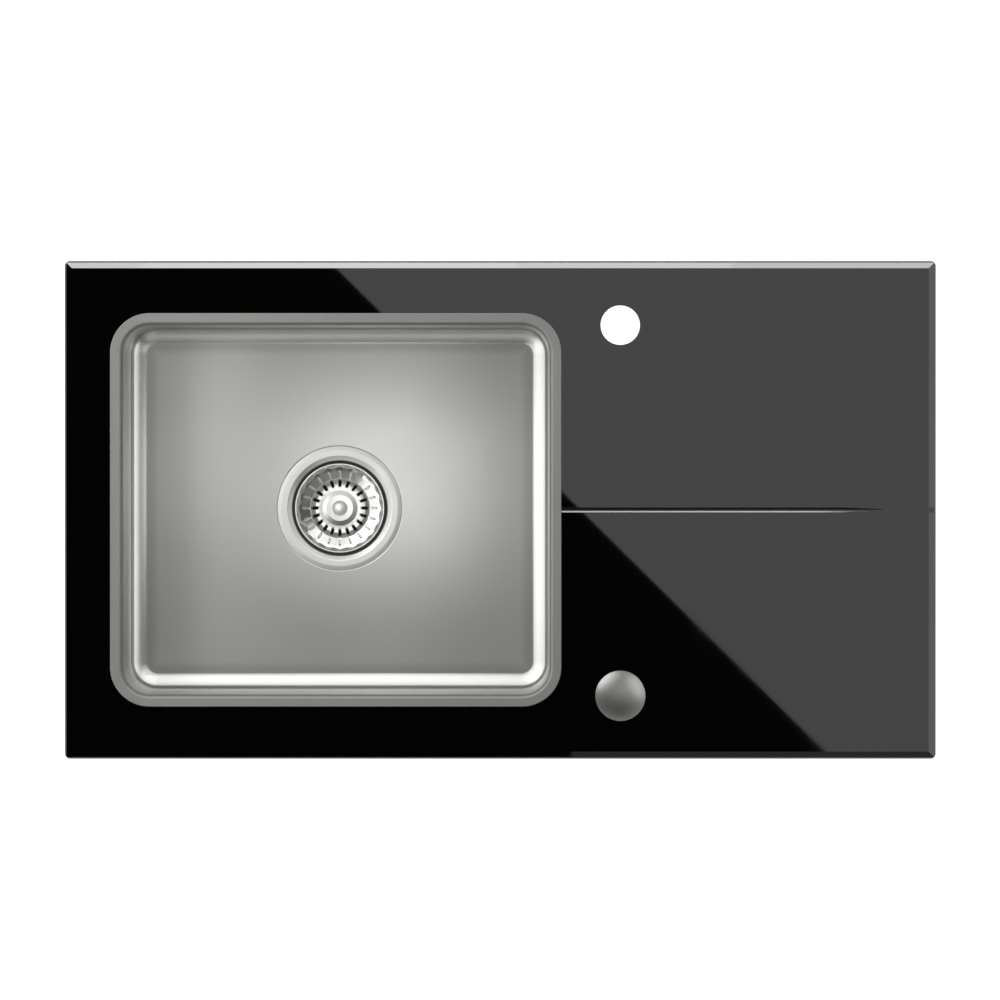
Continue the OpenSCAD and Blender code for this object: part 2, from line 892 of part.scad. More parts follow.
module lift_pin() {
    cone_h = 3;
    color(steel)
        at_waste() {
            rod(pin_r, pin_tip_w + cone_h, pin_top_w - pin_tip_w - cone_h);
            translate([0, 0, pin_tip_w + pin_tip_r])
                cylinder(r1 = pin_tip_r, r2 = pin_r, h = cone_h - pin_tip_r + tiny);
            translate([0, 0, pin_tip_w + pin_tip_r])
                sphere(pin_tip_r);
        }
}

// Pressed basket: lip, sloping upper wall, slotted cone and dished middle with a raised disc
module basket() {
    color(steel)
        difference() {
            turned_at_waste()
                polygon([
                    [peg_shank_r + run_gap, basket_floor_w],
                    [raised_r - 0.8, basket_floor_w],
                    [raised_r + 0.4, basket_floor_w - raised_h],
                    [crease_r - 3, crease_w - 0.6],
                    [crease_r, crease_w],
                    [cone_top_r, cone_top_w],
                    [lip_r - 1.4, lip_w],
                    [lip_r, lip_w],
                    [lip_r, lip_w - basket_t],
                    [lip_r - 0.9, lip_w - basket_t],
                    [cone_top_r + 0.5, cone_top_w - basket_t],
                    [crease_r + 0.3, crease_w - basket_t],
                    [crease_r - 3, crease_w - 0.6 - basket_t],
                    [peg_shank_r + run_gap, crease_w - 0.6 - basket_t]
                ]);
            at_waste()
                for (n = [0 : slot_count - 1])
                    rotate([0, 0, 90 + n * 360 / slot_count])
                        translate([slot_inner_r, -slot_w / 2, crease_w - 8])
                            cube([slot_outer_r - slot_inner_r, slot_w, 20]);
        }
}

// Domed finger peg whose shank carries the stopper
module basket_peg() {
    dome_h = 4.2;
    dome_r = (peg_r * peg_r + dome_h * dome_h) / (2 * dome_h);
    band_h = 1.5;
    neck_r = peg_r - 1.6;
    band_w = peg_top_w - dome_h - band_h;
    color(steel)
        at_waste() {
            rod(peg_shank_r, peg_end_w, basket_floor_w - peg_end_w + tiny);
            rod(neck_r, basket_floor_w, band_w - basket_floor_w + tiny);
            rod(peg_r, band_w, band_h + tiny);
            intersection() {
                rod(peg_r, peg_top_w - dome_h, dome_h + 1);
                translate([0, 0, peg_top_w - dome_r])
                    sphere(dome_r);
            }
        }
}

// Rubber ring round the basket's lip
module basket_seal() {
    color(black_rubber)
        at_waste()
            difference() {
                tube(lip_r + seal_ring_t, lip_r - 0.8, seat_w + run_gap, lip_w - seat_w + 0.5);
                rod(lip_r, lip_w - basket_t, 5);
            }
}

// Rubber stopper that closes the cup's holes while the basket is down
module stopper_washer() {
    skirt_t = 2.5;
    top_w = cup_w + stopper_h;
    color(black_rubber)
        at_waste()
            difference() {
                union() {
                    rod(stopper_r, top_w - stopper_t, stopper_t);
                    tube(stopper_r, stopper_r - skirt_t, cup_w + run_gap, stopper_h - run_gap);
                }
                rod(peg_shank_r + run_gap, cup_w, 20);
            }
}

// Lift gear

module cam_shaft() {
    end_y = boss_end_y - shaft_blind - seat_gap;
    color(steel)
        at_shaft()
            translate([0, end_y, 0])
                rotate([90, 0, 0])
                    cylinder(r = shaft_r, h = end_y + lift_case_y + cover_t - 0.5);
}

// Radius of the cam at an angle from its top towards +X: it grows evenly over the working turn,
// then eases back
function cam_radius(a) =
    let (
        rise = lift_travel / cam_turn,
        low = cam_base_r - cam_margin * rise,
        high = cam_base_r + (cam_turn + cam_margin) * rise,
        back = (a - cam_turn - cam_margin) / (360 - cam_turn - 2 * cam_margin)
    )
    a <= cam_turn + cam_margin ? cam_base_r + a * rise : low + (high - low) * (1 + cos(180 * back)) / 2;

module lift_cam() {
    first = -cam_margin;
    step = 4;
    color(white_plastic)
        at_shaft()
            translate([0, cam_t / 2, 0])
                rotate([90, 0, 0])
                    difference() {
                        linear_extrude(cam_t)
                            polygon([
                                for (a = [first : step : first + 360 - step])
                                    cam_radius(a) * [sin(a), cos(a)]
                            ]);
                        rod(shaft_r + run_gap, -1, cam_t + 2);
                    }
}

module cam_pinion() {
    color(white_plastic)
        at_shaft()
            translate([0, -gear_y - gear_side_gap, 0])
                rotate([90, 0, 0])
                    difference() {
                        linear_extrude(gear_t)
                            rotate([0, 0, -90])
                                polygon(pinion_points(cam_pitch_r, cam_module, cam_teeth));
                        rod(shaft_r + run_gap, -1, gear_t + 2);
                    }
}

// O-ring on the shaft where it leaves the wet chamber
module shaft_seal() {
    color(black_rubber)
        at_shaft()
            translate([0, shaft_seal_seat - 0.1 - boss_end_y, 0])
                rotate([90, 0, 0])
                    tube(shaft_r + 1.9, shaft_r + run_gap, 0, shaft_seal_len);
}

// Rack under the cam shaft's pinion, drawn towards +X by the cable
module waste_rack() {
    color(white_plastic)
        at_shaft()
            difference() {
                translate([0, -gear_y, -cam_pitch_r])
                    rotate([90, 90, 0])
                        linear_extrude(rack_span)
                            rack_outline(cam_module, -mesh_reach - rack_travel, mesh_reach,
                                -rack_end - rack_travel, rack_end);
                translate([rack_end - wire_hold, cable_end[1], cable_end[2] - shaft_z])
                    rotate([0, 90, 0])
                        cylinder(r = wire_r + run_gap, h = wire_hold + 1);
            }
}

module waste_wire() {
    color(steel)
        translate([waste_x + rack_end - wire_hold, cable_end[1], cable_end[2]])
            rotate([0, 90, 0])
                cylinder(r = wire_r, h = wire_len);
}

module lift_posts(r, y, length) {
    low_z = lift_floor - case_wall - post_out;
    high_z = lift_roof + case_wall + post_out;
    for (x = [-lift_post_x, lift_post_x], z = [low_z, high_z])
        translate([x, y, z])
            rotate([90, 0, 0])
                cylinder(r = r, h = length);
}

// Case that holds the pinion and rack at the side of the waste body
module lift_case() {
    depth = lift_case_y - boss_end_y;
    color(grey_plastic)
        at_shaft()
            difference() {
                union() {
                    translate([case_low - case_wall, -lift_case_y, lift_floor - case_wall])
                        cube([
                            case_end - case_low + case_wall,
                            depth,
                            lift_roof - lift_floor + 2 * case_wall
                        ]);
                    lift_posts(post_r, -boss_end_y, depth);
                }
                translate([case_low, -lift_case_y - 1, lift_floor])
                    cube([
                        case_end - case_wall - case_low,
                        depth - case_wall + 1,
                        lift_roof - lift_floor
                    ]);
                lift_posts(cover_screw_r + run_gap, -boss_end_y - depth + cover_screw_len, depth);
                translate([0, -boss_end_y + 1, 0])
                    rotate([90, 0, 0])
                        cylinder(r = shaft_r + seat_gap, h = case_wall + 2);
                translate([case_end - case_wall - 1, cable_end[1], cable_end[2] - shaft_z])
                    rotate([0, 90, 0])
                        cylinder(r = ferrule_r + run_gap, h = case_wall + 2);
            }
}

module lift_cover() {
    color(grey_plastic)
        at_shaft()
            difference() {
                union() {
                    translate([case_low - case_wall, -lift_case_y - cover_t, lift_floor - case_wall])
                        cube([
                            case_end - case_low + case_wall,
                            cover_t,
                            lift_roof - lift_floor + 2 * case_wall
                        ]);
                    lift_posts(post_r, -lift_case_y, cover_t);
                }
                translate([0, -lift_case_y + 1, 0])
                    rotate([90, 0, 0])
                        cylinder(r = shaft_r + run_gap, h = cover_t + 2);
                lift_posts(cover_screw_r + run_gap, -lift_case_y + 1, cover_t + 2);
            }
}

module lift_cover_screws() {
    shank = cover_t + cover_screw_len - screw_tip_gap;
    color(steel)
        at_shaft() {
            lift_posts(cover_screw_r, -lift_case_y - cover_t + shank, shank + tiny);
            lift_posts(2 * cover_screw_r, -lift_case_y - cover_t, cover_head_h);
        }
}

// Cable

// Metal end sleeve along +Z: a narrow bore for the wire, then a socket for the sheath
module ferrule() {
    difference() {
        union() {
            cylinder(r = ferrule_r, h = ferrule_len);
            rod(ferrule_r + 1.4, case_wall, 1.5);
        }
        rod(ferrule_bore_r, -1, ferrule_len);
        rod(sheath_r + seat_gap, ferrule_len - socket_depth, socket_depth + 1);
    }
}

module cable_ferrules() {
    color(zinc) {
        translate([cable_start[0], knob_y + ferrule_start, cable_start[2]])
            rotate([-90, 0, 0])
                ferrule();
        translate([waste_x + ferrule_start, cable_end[1], cable_end[2]])
            rotate([0, 90, 0])
                ferrule();
    }
}

function unit(v) = v / norm(v);

// A point on the smooth curve through four neighbouring points, t from 0 to 1 between the middle two
function spline_point(p0, p1, p2, p3, t) =
    0.5 * (2 * p1 + (p2 - p0) * t + (2 * p0 - 5 * p1 + 4 * p2 - p3) * t * t
    + (3 * p1 - p0 - 3 * p2 + p3) * t * t * t);

function spline(points, steps) =
    let (last = len(points) - 1)
    concat(
        [
            for (i = [0 : last - 1], k = [0 : steps - 1])
                spline_point(points[max(i - 1, 0)], points[i], points[i + 1],
                    points[min(i + 2, last)], k / steps)
        ],
        [points[last]]
    );

// A tube with closed ends swept along a path
module swept_tube(path, r, sides) {
    count = len(path);
    side_ref = [1, 1, 1];
    rings = [
        for (i = [0 : count - 1])
            let (
                t = unit(path[min(i + 1, count - 1)] - path[max(i - 1, 0)]),
                u = unit(cross(t, side_ref)),
                v = cross(t, u)
            )
            for (k = [0 : sides - 1])
                path[i] + r * (cos(360 * k / sides) * u + sin(360 * k / sides) * v)
    ];
    walls = [
        for (i = [0 : count - 2], k = [0 : sides - 1])
            let (a = i * sides + k, b = i * sides + (k + 1) % sides)
            each [[a, a + sides, b], [b, a + sides, b + sides]]
    ];
    first_cap = [for (k = [0 : sides - 1]) k];
    last_cap = [for (k = [sides - 1 : -1 : 0]) (count - 1) * sides + k];
    polyhedron(points = rings, faces = concat(walls, [first_cap, last_cap]));
}

module cable_sheath() {
    color(grey_plastic)
        swept_tube(spline(cable_points, cable_steps), sheath_r, cable_sides);
}

// Control

module control_knob() {
    dome_r = (knob_r * knob_r + knob_dome_h * knob_dome_h) / (2 * knob_dome_h);
    color(satin_steel)
        at_knob()
            difference() {
                union() {
                    rod(knob_r, knob_skirt_z, knob_side_h);
                    intersection() {
                        rod(knob_r, knob_top_z - tiny, knob_dome_h + 1);
                        translate([0, 0, knob_top_z + knob_dome_h - dome_r])
                            sphere(dome_r);
                    }
                }
                rod(knob_cavity_r, knob_skirt_z - 1, knob_floor_z - knob_skirt_z + 1);
                rod(spindle_r + run_gap, knob_floor_z - 1, spindle_top_z - knob_floor_z + 1 + seat_gap);
                translate([0, spindle_r - 1, set_screw_z])
                    rotate([-90, 0, 0])
                        cylinder(r = set_screw_r + run_gap, h = knob_r);
            }
}

// Headless screw that clamps the knob to the spindle, at the back of the knob
module knob_set_screw() {
    color(zinc)
        at_knob()
            translate([0, spindle_r, set_screw_z])
                rotate([-90, 0, 0])
                    difference() {
                        cylinder(r = set_screw_r, h = set_screw_len);
                        translate([0, 0, set_screw_len - socket_h])
                            cylinder(r = socket_r, h = socket_h + 1, $fn = 6);
                    }
}

module control_spindle() {
    shoulder_z = case_top_z - case_wall;
    end_z = case_top_z - case_h - cover_t;
    color(steel)
        at_knob() {
            rod(spindle_r, shoulder_z, spindle_top_z - shoulder_z);
            rod(pinion_seat_r, end_z, shoulder_z - end_z + tiny);
        }
}

module knob_pinion() {
    color(white_plastic)
        at_knob()
            translate([0, 0, rack_z - gear_t / 2])
                difference() {
                    linear_extrude(gear_t)
                        polygon(pinion_points(knob_pitch_r, knob_module, knob_teeth));
                    rod(pinion_seat_r + run_gap, -1, gear_t + 2);
                }
}

// Rack beside the knob's pinion, drawn towards -Y as the knob turns clockwise
module control_rack() {
    color(white_plastic)
        at_knob()
            difference() {
                translate([knob_pitch_r, 0, rack_z - rack_span / 2])
                    linear_extrude(rack_span)
                        rack_outline(knob_module, -mesh_reach, mesh_reach + rack_travel,
                            -rack_end, rack_end + rack_travel);
                translate([knob_pitch_r + wire_line, rack_end + rack_travel - wire_hold, rack_z])
                    rotate([-90, 0, 0])
                        cylinder(r = wire_r + run_gap, h = wire_hold + 1);
            }
}

module control_wire() {
    color(steel)
        at_knob()
            translate([knob_pitch_r + wire_line, rack_end + rack_travel - wire_hold, rack_z])
                rotate([-90, 0, 0])
                    cylinder(r = wire_r, h = wire_len);
}

// Threaded sleeve through the glass, with a collar above it
module control_sleeve() {
    bearing_h = 7;
    relief_z = sleeve_bottom_z + bearing_h;
    relief_h = 18;
    relief_t = 4;
    color(dark_plastic)
        at_knob()
            difference() {
                union() {
                    rod(sleeve_r, sleeve_bottom_z, collar_z - collar_t - sleeve_bottom_z + tiny);
                    rod(collar_r, collar_z - collar_t, collar_t);
                }
                rod(spindle_r + run_gap, sleeve_bottom_z - 1, collar_z - sleeve_bottom_z + 2);
                rod(spindle_r + relief_t, relief_z, relief_h);
            }
}

module control_gasket() {
    color(black_rubber)
        at_knob()
            tube(collar_r, sleeve_r + run_gap, top_z, control_gasket_t);
}

module control_washer() {
    color(grey_plastic)
        at_knob()
            tube(washer_r, sleeve_r + fit_gap, glass_z - washer_t, washer_t);
}

module control_nut() {
    color(grey_plastic)
        at_knob()
            translate([0, 0, glass_z - washer_t - control_nut_t])
                difference() {
                    cylinder(r = control_nut_r, h = control_nut_t, $fn = 6);
                    rod(sleeve_r + run_gap, -1, control_nut_t + 2);
                }
}

module control_posts(r, z, h) {
    low_x = case_x_low - case_wall - post_out;
    high_x = case_x_high + case_wall + post_out;
    for (x = [low_x, high_x], y = [-control_post_y, control_post_y])
        translate([x, y, 0])
            rod(r, z, h);
}

// Case under the sleeve that holds the pinion and rack, open at the bottom
module control_case() {
    inner_h = case_h - case_wall;
    color(grey_plastic)
        at_knob()
            difference() {
                union() {
                    translate([case_x_low - case_wall, case_low - case_wall, case_top_z - case_h])
                        cube([
                            case_x_high - case_x_low + 2 * case_wall,
                            case_end - case_low + case_wall,
                            case_h
                        ]);
                    control_posts(post_r, case_top_z - case_h, case_h);
                    rod(sleeve_r + case_ring_t, case_top_z - case_wall, case_wall + case_ring_h);
                }
                rod(sleeve_r + fit_gap, case_top_z, case_ring_h + 1);
                rod(spindle_r + seat_gap, case_top_z - case_wall - 1, case_wall + 2);
                translate([case_x_low, case_low, case_top_z - case_h - 1])
                    cube([case_x_high - case_x_low, case_end - case_wall - case_low, inner_h + 1]);
                control_posts(cover_screw_r + run_gap, case_top_z - case_h - 1, cover_screw_len + 1);
                translate([knob_pitch_r + wire_line, case_end - case_wall - 1, rack_z])
                    rotate([-90, 0, 0])
                        cylinder(r = ferrule_r + run_gap, h = case_wall + 2);
            }
}

module control_cover() {
    cover_z = case_top_z - case_h - cover_t;
    color(grey_plastic)
        at_knob()
            difference() {
                union() {
                    translate([case_x_low - case_wall, case_low - case_wall, cover_z])
                        cube([
                            case_x_high - case_x_low + 2 * case_wall,
                            case_end - case_low + case_wall,
                            cover_t
                        ]);
                    control_posts(post_r, cover_z, cover_t);
                }
                rod(pinion_seat_r + run_gap, cover_z - 1, cover_t + 2);
                control_posts(cover_screw_r + run_gap, cover_z - 1, cover_t + 2);
            }
}

module control_cover_screws() {
    cover_z = case_top_z - case_h - cover_t;
    shank = cover_t + cover_screw_len - screw_tip_gap;
    color(steel)
        at_knob() {
            control_posts(cover_screw_r, cover_z - tiny, shank);
            control_posts(2 * cover_screw_r, cover_z - cover_head_h, cover_head_h);
        }
}

glass_top();
seal_strip();
support_frame();
clip_nuts();
clip_screw(0);  // clip_screw_1
clip_screw(1);  // clip_screw_2
clip_screw(2);  // clip_screw_3
clip_screw(3);  // clip_screw_4
clip_screw(4);  // clip_screw_5
clip_screw(5);  // clip_screw_6
clip_claw(0);  // clip_claw_1
clip_claw(1);  // clip_claw_2
clip_claw(2);  // clip_claw_3
clip_claw(3);  // clip_claw_4
clip_claw(4);  // clip_claw_5
clip_claw(5);  // clip_claw_6
rim_bead();
bowl();
sound_pads();
flange_gasket();
waste_flange();
body_gasket();
waste_body();
hollow_screw();
lift_pin();
basket();
basket_peg();
basket_seal();
stopper_washer();
cam_shaft();
lift_cam();
cam_pinion();
shaft_seal();
waste_rack();
waste_wire();
lift_case();
lift_cover();
lift_cover_screws();
cable_ferrules();
cable_sheath();
control_knob();
knob_set_screw();
control_spindle();
knob_pinion();
control_rack();
control_wire();
control_sleeve();
control_gasket();
control_washer();
control_nut();
control_case();
control_cover();
control_cover_screws();
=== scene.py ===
import json
import math

import bmesh
import bpy
import numpy as np
from mathutils import Matrix, Vector


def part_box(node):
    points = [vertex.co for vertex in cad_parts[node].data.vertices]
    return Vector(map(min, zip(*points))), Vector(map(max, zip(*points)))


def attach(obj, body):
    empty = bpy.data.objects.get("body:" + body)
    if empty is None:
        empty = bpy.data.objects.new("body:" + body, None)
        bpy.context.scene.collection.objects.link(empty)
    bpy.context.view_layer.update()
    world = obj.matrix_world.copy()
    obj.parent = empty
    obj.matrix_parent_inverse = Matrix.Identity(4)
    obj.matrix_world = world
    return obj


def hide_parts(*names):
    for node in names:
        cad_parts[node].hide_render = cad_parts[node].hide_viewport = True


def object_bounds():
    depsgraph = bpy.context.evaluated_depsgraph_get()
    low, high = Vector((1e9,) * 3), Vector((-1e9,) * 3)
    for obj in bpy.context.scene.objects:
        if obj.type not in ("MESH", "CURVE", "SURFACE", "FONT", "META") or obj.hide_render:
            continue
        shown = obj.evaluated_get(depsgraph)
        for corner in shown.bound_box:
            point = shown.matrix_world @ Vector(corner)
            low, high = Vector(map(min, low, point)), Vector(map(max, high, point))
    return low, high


bl_info = {
    "name": "Inset Kitchen Sink",
    "version": (1, 0, 0),
    "blender": (4, 5, 0),
    "location": "View3D > Sidebar > Sink",
    "description": "Dresses the packed inset kitchen sink and sets up its studio",
    "category": "Add Mesh",
}

# The frame: X to the right, Y to the back, Z up, in metres; the worktop's upper face is at zero.
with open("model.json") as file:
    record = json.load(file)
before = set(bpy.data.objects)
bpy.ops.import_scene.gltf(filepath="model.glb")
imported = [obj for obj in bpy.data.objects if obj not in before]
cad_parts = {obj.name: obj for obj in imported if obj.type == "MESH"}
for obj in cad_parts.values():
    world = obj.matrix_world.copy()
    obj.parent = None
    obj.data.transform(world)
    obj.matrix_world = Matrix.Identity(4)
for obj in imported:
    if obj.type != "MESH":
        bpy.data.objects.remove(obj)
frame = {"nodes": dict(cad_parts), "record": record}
CAD_LOW, CAD_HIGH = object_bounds()
MM = 0.001


def middle(node):
    """The middle of a node's box."""
    low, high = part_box(node)
    return (low + high) / 2


BOWL_LOW, BOWL_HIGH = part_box("bowl")
GLASS_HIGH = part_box("glass_top")[1]
WASTE = middle("waste_flange")
KNOB = middle("control_knob")
RIM_TOP = BOWL_HIGH.z
GLASS_TOP = GLASS_HIGH.z


# Sizes and colours that a user may change

def a_length(name, description, default):
    return bpy.props.FloatProperty(
        name=name, description=description, default=default, unit="LENGTH")


def a_colour(name, description, *default):
    return bpy.props.FloatVectorProperty(
        name=name, description=description, default=default, subtype="COLOR")


def a_level(name, description, default):
    return bpy.props.FloatProperty(name=name, description=description, default=default, min=0)


class SinkSizes(bpy.types.PropertyGroup):
    """Sizes of the pressed and turned pieces."""

    sheet: a_length("Sheet", "Thickness of the bowl's sheet", 0.9 * MM)
    bowl_depth: a_length("Bowl depth", "From the rim to the floor", 0.186)
    rim_width: a_length("Rim", "Width of the flat rim", 7 * MM)
    rim_corner: a_length("Rim corner", "Plan radius of the rim", 35 * MM)
    roll: a_length("Roll", "Radius from the rim into the wall", 3.2 * MM)
    fillet: a_length("Fillet", "Plan width of the bend from the wall into the floor", 13.7 * MM)
    soft_bend: a_length("Soft bend", "Radius of the slow middle part of that bend", 39 * MM)
    draft: bpy.props.FloatProperty(
        name="Lean", description="Lean of the walls", default=math.radians(0.3), unit="ROTATION")
    recess: a_length("Recess", "Depth of the recess round the waste", 2 * MM)
    slots: bpy.props.IntProperty(
        name="Slots", description="Slots in the basket", default=20, min=8, max=32)
    slot_width: a_length("Slot width", "Width of one slot", 2.6 * MM)
    flute_depth: a_length("Flute depth", "Depth of the flute beyond each slot", 0.4 * MM)
    scallop: a_length("Scallop", "How far the basket's edge swells at a slot", 1.2 * MM)


class SinkColours(bpy.types.PropertyGroup):
    """Base colours of the finishes."""

    glass: a_colour("Glass", "Black back coat", 0.0004, 0.0004, 0.0005)
    bowl: a_colour("Bowl", "Satin stainless steel", 0.68, 0.68, 0.655)
    # Painted shade: this darker colour dims the highlight on the rim's roll; the rim's own
    # difference is its duller gloss.
    rim: a_colour("Rim", "Duller satin of the bowl's rim", 0.32, 0.32, 0.306)
    polished: a_colour("Polished steel", "Waste and basket", 0.74, 0.74, 0.725)
    knob: a_colour("Knob", "Satin plated knob", 0.55, 0.55, 0.525)
    zinc: a_colour("Zinc", "Zinc plated parts", 0.56, 0.58, 0.60)
    brass: a_colour("Brass", "Centre screw", 0.72, 0.56, 0.27)
    rubber: a_colour("Rubber", "Seals", 0.012, 0.012, 0.012)
    dark: a_colour("Dark plastic", "Waste body", 0.028, 0.028, 0.030)
    grey: a_colour("Grey plastic", "Gear cases", 0.20, 0.205, 0.21)
    white: a_colour("White plastic", "Gears and racks", 0.80, 0.80, 0.77)


class SinkStudio(bpy.types.PropertyGroup):
    """Light levels, where 1 is white."""

    ambient: a_level("Ambient", "Even light on matt pieces", 0.8)
    horizon: a_level("Horizon", "What gloss shows at the horizon", 1.0)
    ceiling: a_level("Ceiling", "What gloss shows overhead", 0.015)
    key: a_level("Side boxes", "Left and back boxes on the steel", 1.6)
    lamp: a_level("Overhead lamps", "Lamps over the bowl", 1.4)
    fill: a_level("Fill", "Soft box high over the steel", 0.13)
    panel: a_level("Panel", "Panel mirrored in the glass", 1.45)


# Shapes, each worked out as whole arrays

def unit(vectors):
    """A vector, or each row of vectors, at length one."""
    return vectors / np.linalg.norm(vectors, axis=-1, keepdims=True)


def pairs(first, second):
    """Two arrays, spread over each other, as pairs."""
    return np.stack(np.broadcast_arrays(first, second), axis=-1)


def direction(angle):
    """The cosine and the sine of each angle, as a pair."""
    return pairs(np.cos(angle), np.sin(angle))


def raised(plan, height):
    """A grid of plan points, each at its height."""
    height = np.broadcast_to(height, plan.shape[:2])
    return np.concatenate([plan, height[..., None]], axis=2)


def rounded(corners, steps=8):
    """A polyline in two dimensions whose corners are arcs.

    A corner is (across, up, radius). Its arc starts at radius times the tangent of half the turn
    before the corner, and each point is the arc's centre less the radius times a blend of the
    two side normals that keeps unit length. A point a small margin outside each end of an arc
    keeps the flats flat when the mesh is shaded smooth.
    """
    margin = 0.3 * MM
    made = []
    for i, (across, up, radius) in enumerate(corners):
        here = np.array((across, up), float)
        if radius == 0 or i in (0, len(corners) - 1):
            made.append(here[None])
            continue
        before = unit(here - np.array(corners[i - 1][:2]))
        after = unit(np.array(corners[i + 1][:2]) - here)
        turn = math.acos(np.clip(before @ after, -1, 1))
        side = np.sign(before[0] * after[1] - before[1] * after[0])
        normals = [side * np.array((-v[1], v[0])) for v in (before, after)]
        reach = radius * math.tan(turn / 2)
        centre = here - before * reach + normals[0] * radius
        k = np.linspace(0, 1, steps + 1)[:, None]
        blend = np.sin((1 - k) * turn) * normals[0] + np.sin(k * turn) * normals[1]
        arc = centre - radius * blend / math.sin(turn)
        made.append(np.vstack([arc[:1] - before * margin, arc, arc[-1:] + after * margin]))
    return np.vstack(made)


def travelled(points):
    """The distance along a polyline at each of its points."""
    steps = np.linalg.norm(np.diff(points, axis=0), axis=1)
    return np.concatenate([[0], np.cumsum(steps)])


def grid_piece(name, points, uv, keep=None, rows_closed=False):
    """A mesh object from an array of points, rows by columns by three.

    Each face joins four neighbours, (row, column) to (row + 1, column + 1). The last column joins
    the first, and so does the last row where rows are closed. keep says which faces are made.
    Doubles are merged, which closes seams and poles.
    """
    rows, columns = points.shape[:2]
    i, j = np.meshgrid(
        np.arange(rows if rows_closed else rows - 1), np.arange(columns), indexing="ij")
    if keep is not None:
        i, j = i[keep], j[keep]
    i, j = i.ravel(), j.ravel()
    down, right = (i + 1) % rows, (j + 1) % columns
    corners = ((i, j), (i, right), (down, right), (down, j))
    faces = np.stack([row * columns + column for row, column in corners], axis=1)
    corner_uv = np.stack([uv[corner] for corner in corners], axis=1)
    mesh = bpy.data.meshes.new(name)
    mesh.from_pydata(points.reshape(-1, 3).tolist(), [], faces.tolist())
    layer = mesh.uv_layers.new(name="across")
    layer.data.foreach_set("uv", corner_uv.astype(np.float32).ravel())
    return as_piece(name, mesh, sharp=50)


def as_piece(name, mesh, sharp):
    """Cleans a mesh of doubles and loose points, shades it smooth but for sharp edges."""
    work = bmesh.new()
    work.from_mesh(mesh)
    bmesh.ops.remove_doubles(work, verts=work.verts, dist=1e-6)
    bmesh.ops.delete(work, geom=[v for v in work.verts if not v.link_faces], context="VERTS")
    work.to_mesh(mesh)
    work.free()
    mesh.shade_smooth()
    mesh.set_sharp_from_angle(angle=math.radians(sharp))
    return in_scene(name, mesh)


def in_scene(name, data):
    """A new object of the scene, at the origin."""
    made = bpy.data.objects.new(name, data)
    bpy.context.scene.collection.objects.link(made)
    return made


def joined(name, parts, sharp):
    """One piece from several meshes whose edges meet, facing up where it is flat."""
    work = bmesh.new()
    for part in parts:
        work.from_mesh(part.data)
        mesh = part.data
        bpy.data.objects.remove(part)
        bpy.data.meshes.remove(mesh)
    bmesh.ops.remove_doubles(work, verts=work.verts, dist=1e-6)
    bmesh.ops.recalc_face_normals(work, faces=work.faces)
    flats = [f for f in work.faces if abs(f.normal.z) > 0.9]
    if sum(f.normal.z for f in flats) < 0:
        bmesh.ops.reverse_faces(work, faces=work.faces)
    mesh = bpy.data.meshes.new(name)
    work.to_mesh(mesh)
    work.free()
    return as_piece(name, mesh, sharp)


def skin(piece, thickness):
    """Gives an open sheet its thickness, below its upper face."""
    wall = piece.modifiers.new("sheet", "SOLIDIFY")
    wall.thickness = thickness
    wall.offset = -1
    wall.use_even_offset = True


RIM_STEPS = 24


def round_rect_frame(half_w, half_d, corner):
    """Arc centres and outward normals once round a rectangle with round corners.

    On a side the centre slides from one corner's centre to the next and the normal stays; on a
    corner the centre stays and the normal turns, each in RIM_STEPS steps. A point at inset t is
    the centre plus (corner radius less t) times the normal.
    """
    a, b = half_w - corner, half_d - corner
    corners = np.array([(a, -b), (a, b), (-a, b), (-a, -b)])
    centres, angles = [], []
    slide = np.linspace(0, 1, RIM_STEPS, endpoint=False)[:, None]
    sweep = np.linspace(0, 90, RIM_STEPS, endpoint=False)
    for q in range(4):
        start, end = corners[q], corners[(q + 1) % 4]
        centres += [start + slide * (end - start), np.repeat(end[None], RIM_STEPS, 0)]
        angles += [np.full(RIM_STEPS, 90.0 * q), 90.0 * q + sweep]
    return np.vstack(centres), direction(np.radians(np.concatenate(angles)))


def place(piece, body, slot, node, look=None):
    """Says which body a piece rides on, its finish, and the node that it stands for."""
    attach(piece, body)
    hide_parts(node)
    coat(piece, look or slot)


def coat(piece, look):
    """Gives a piece one finish all over."""
    piece.data.materials.clear()
    piece.data.materials.append(finish(look))


# Shader nodes

def feed(tree, node, inputs):
    """Sets or links a node's inputs, by name or number."""
    for key, value in inputs.items():
        if isinstance(value, bpy.types.NodeSocket):
            tree.links.new(value, node.inputs[key])
        else:
            node.inputs[key].default_value = value


def add_node(tree, kind, inputs=None, **settings):
    """Adds a shader node, sets its own settings and then its inputs, and gives its outputs."""
    made = tree.nodes.new("ShaderNode" + kind)
    for name, value in settings.items():
        setattr(made, name, value)
    feed(tree, made, inputs or {})
    return made.outputs


def emptied(owner, output):
    """The node tree of a material or a world, emptied, and its new output node."""
    owner.use_nodes = True
    tree = owner.node_tree
    tree.nodes.clear()
    return tree, tree.nodes.new("ShaderNode" + output)


def math_node(tree, operation, *values):
    return add_node(tree, "Math", dict(enumerate(values)), operation=operation)[0]


def product(tree, value, *factors):
    for factor in factors:
        value = math_node(tree, "MULTIPLY", value, factor)
    return value


def split(tree, vector):
    """The three parts of a vector."""
    return list(add_node(tree, "SeparateXYZ", {0: vector}))


def noise(tree, inputs, **settings):
    return add_node(tree, "TexNoise", inputs, **settings)[0]


def ramp(tree, value, low, high, to_low=0.0, to_high=1.0):
    """A smooth step of value, from low to high."""
    return add_node(
        tree, "MapRange",
        {"Value": value, "From Min": low, "From Max": high, "To Min": to_low, "To Max": to_high},
        interpolation_type="SMOOTHSTEP")["Result"]


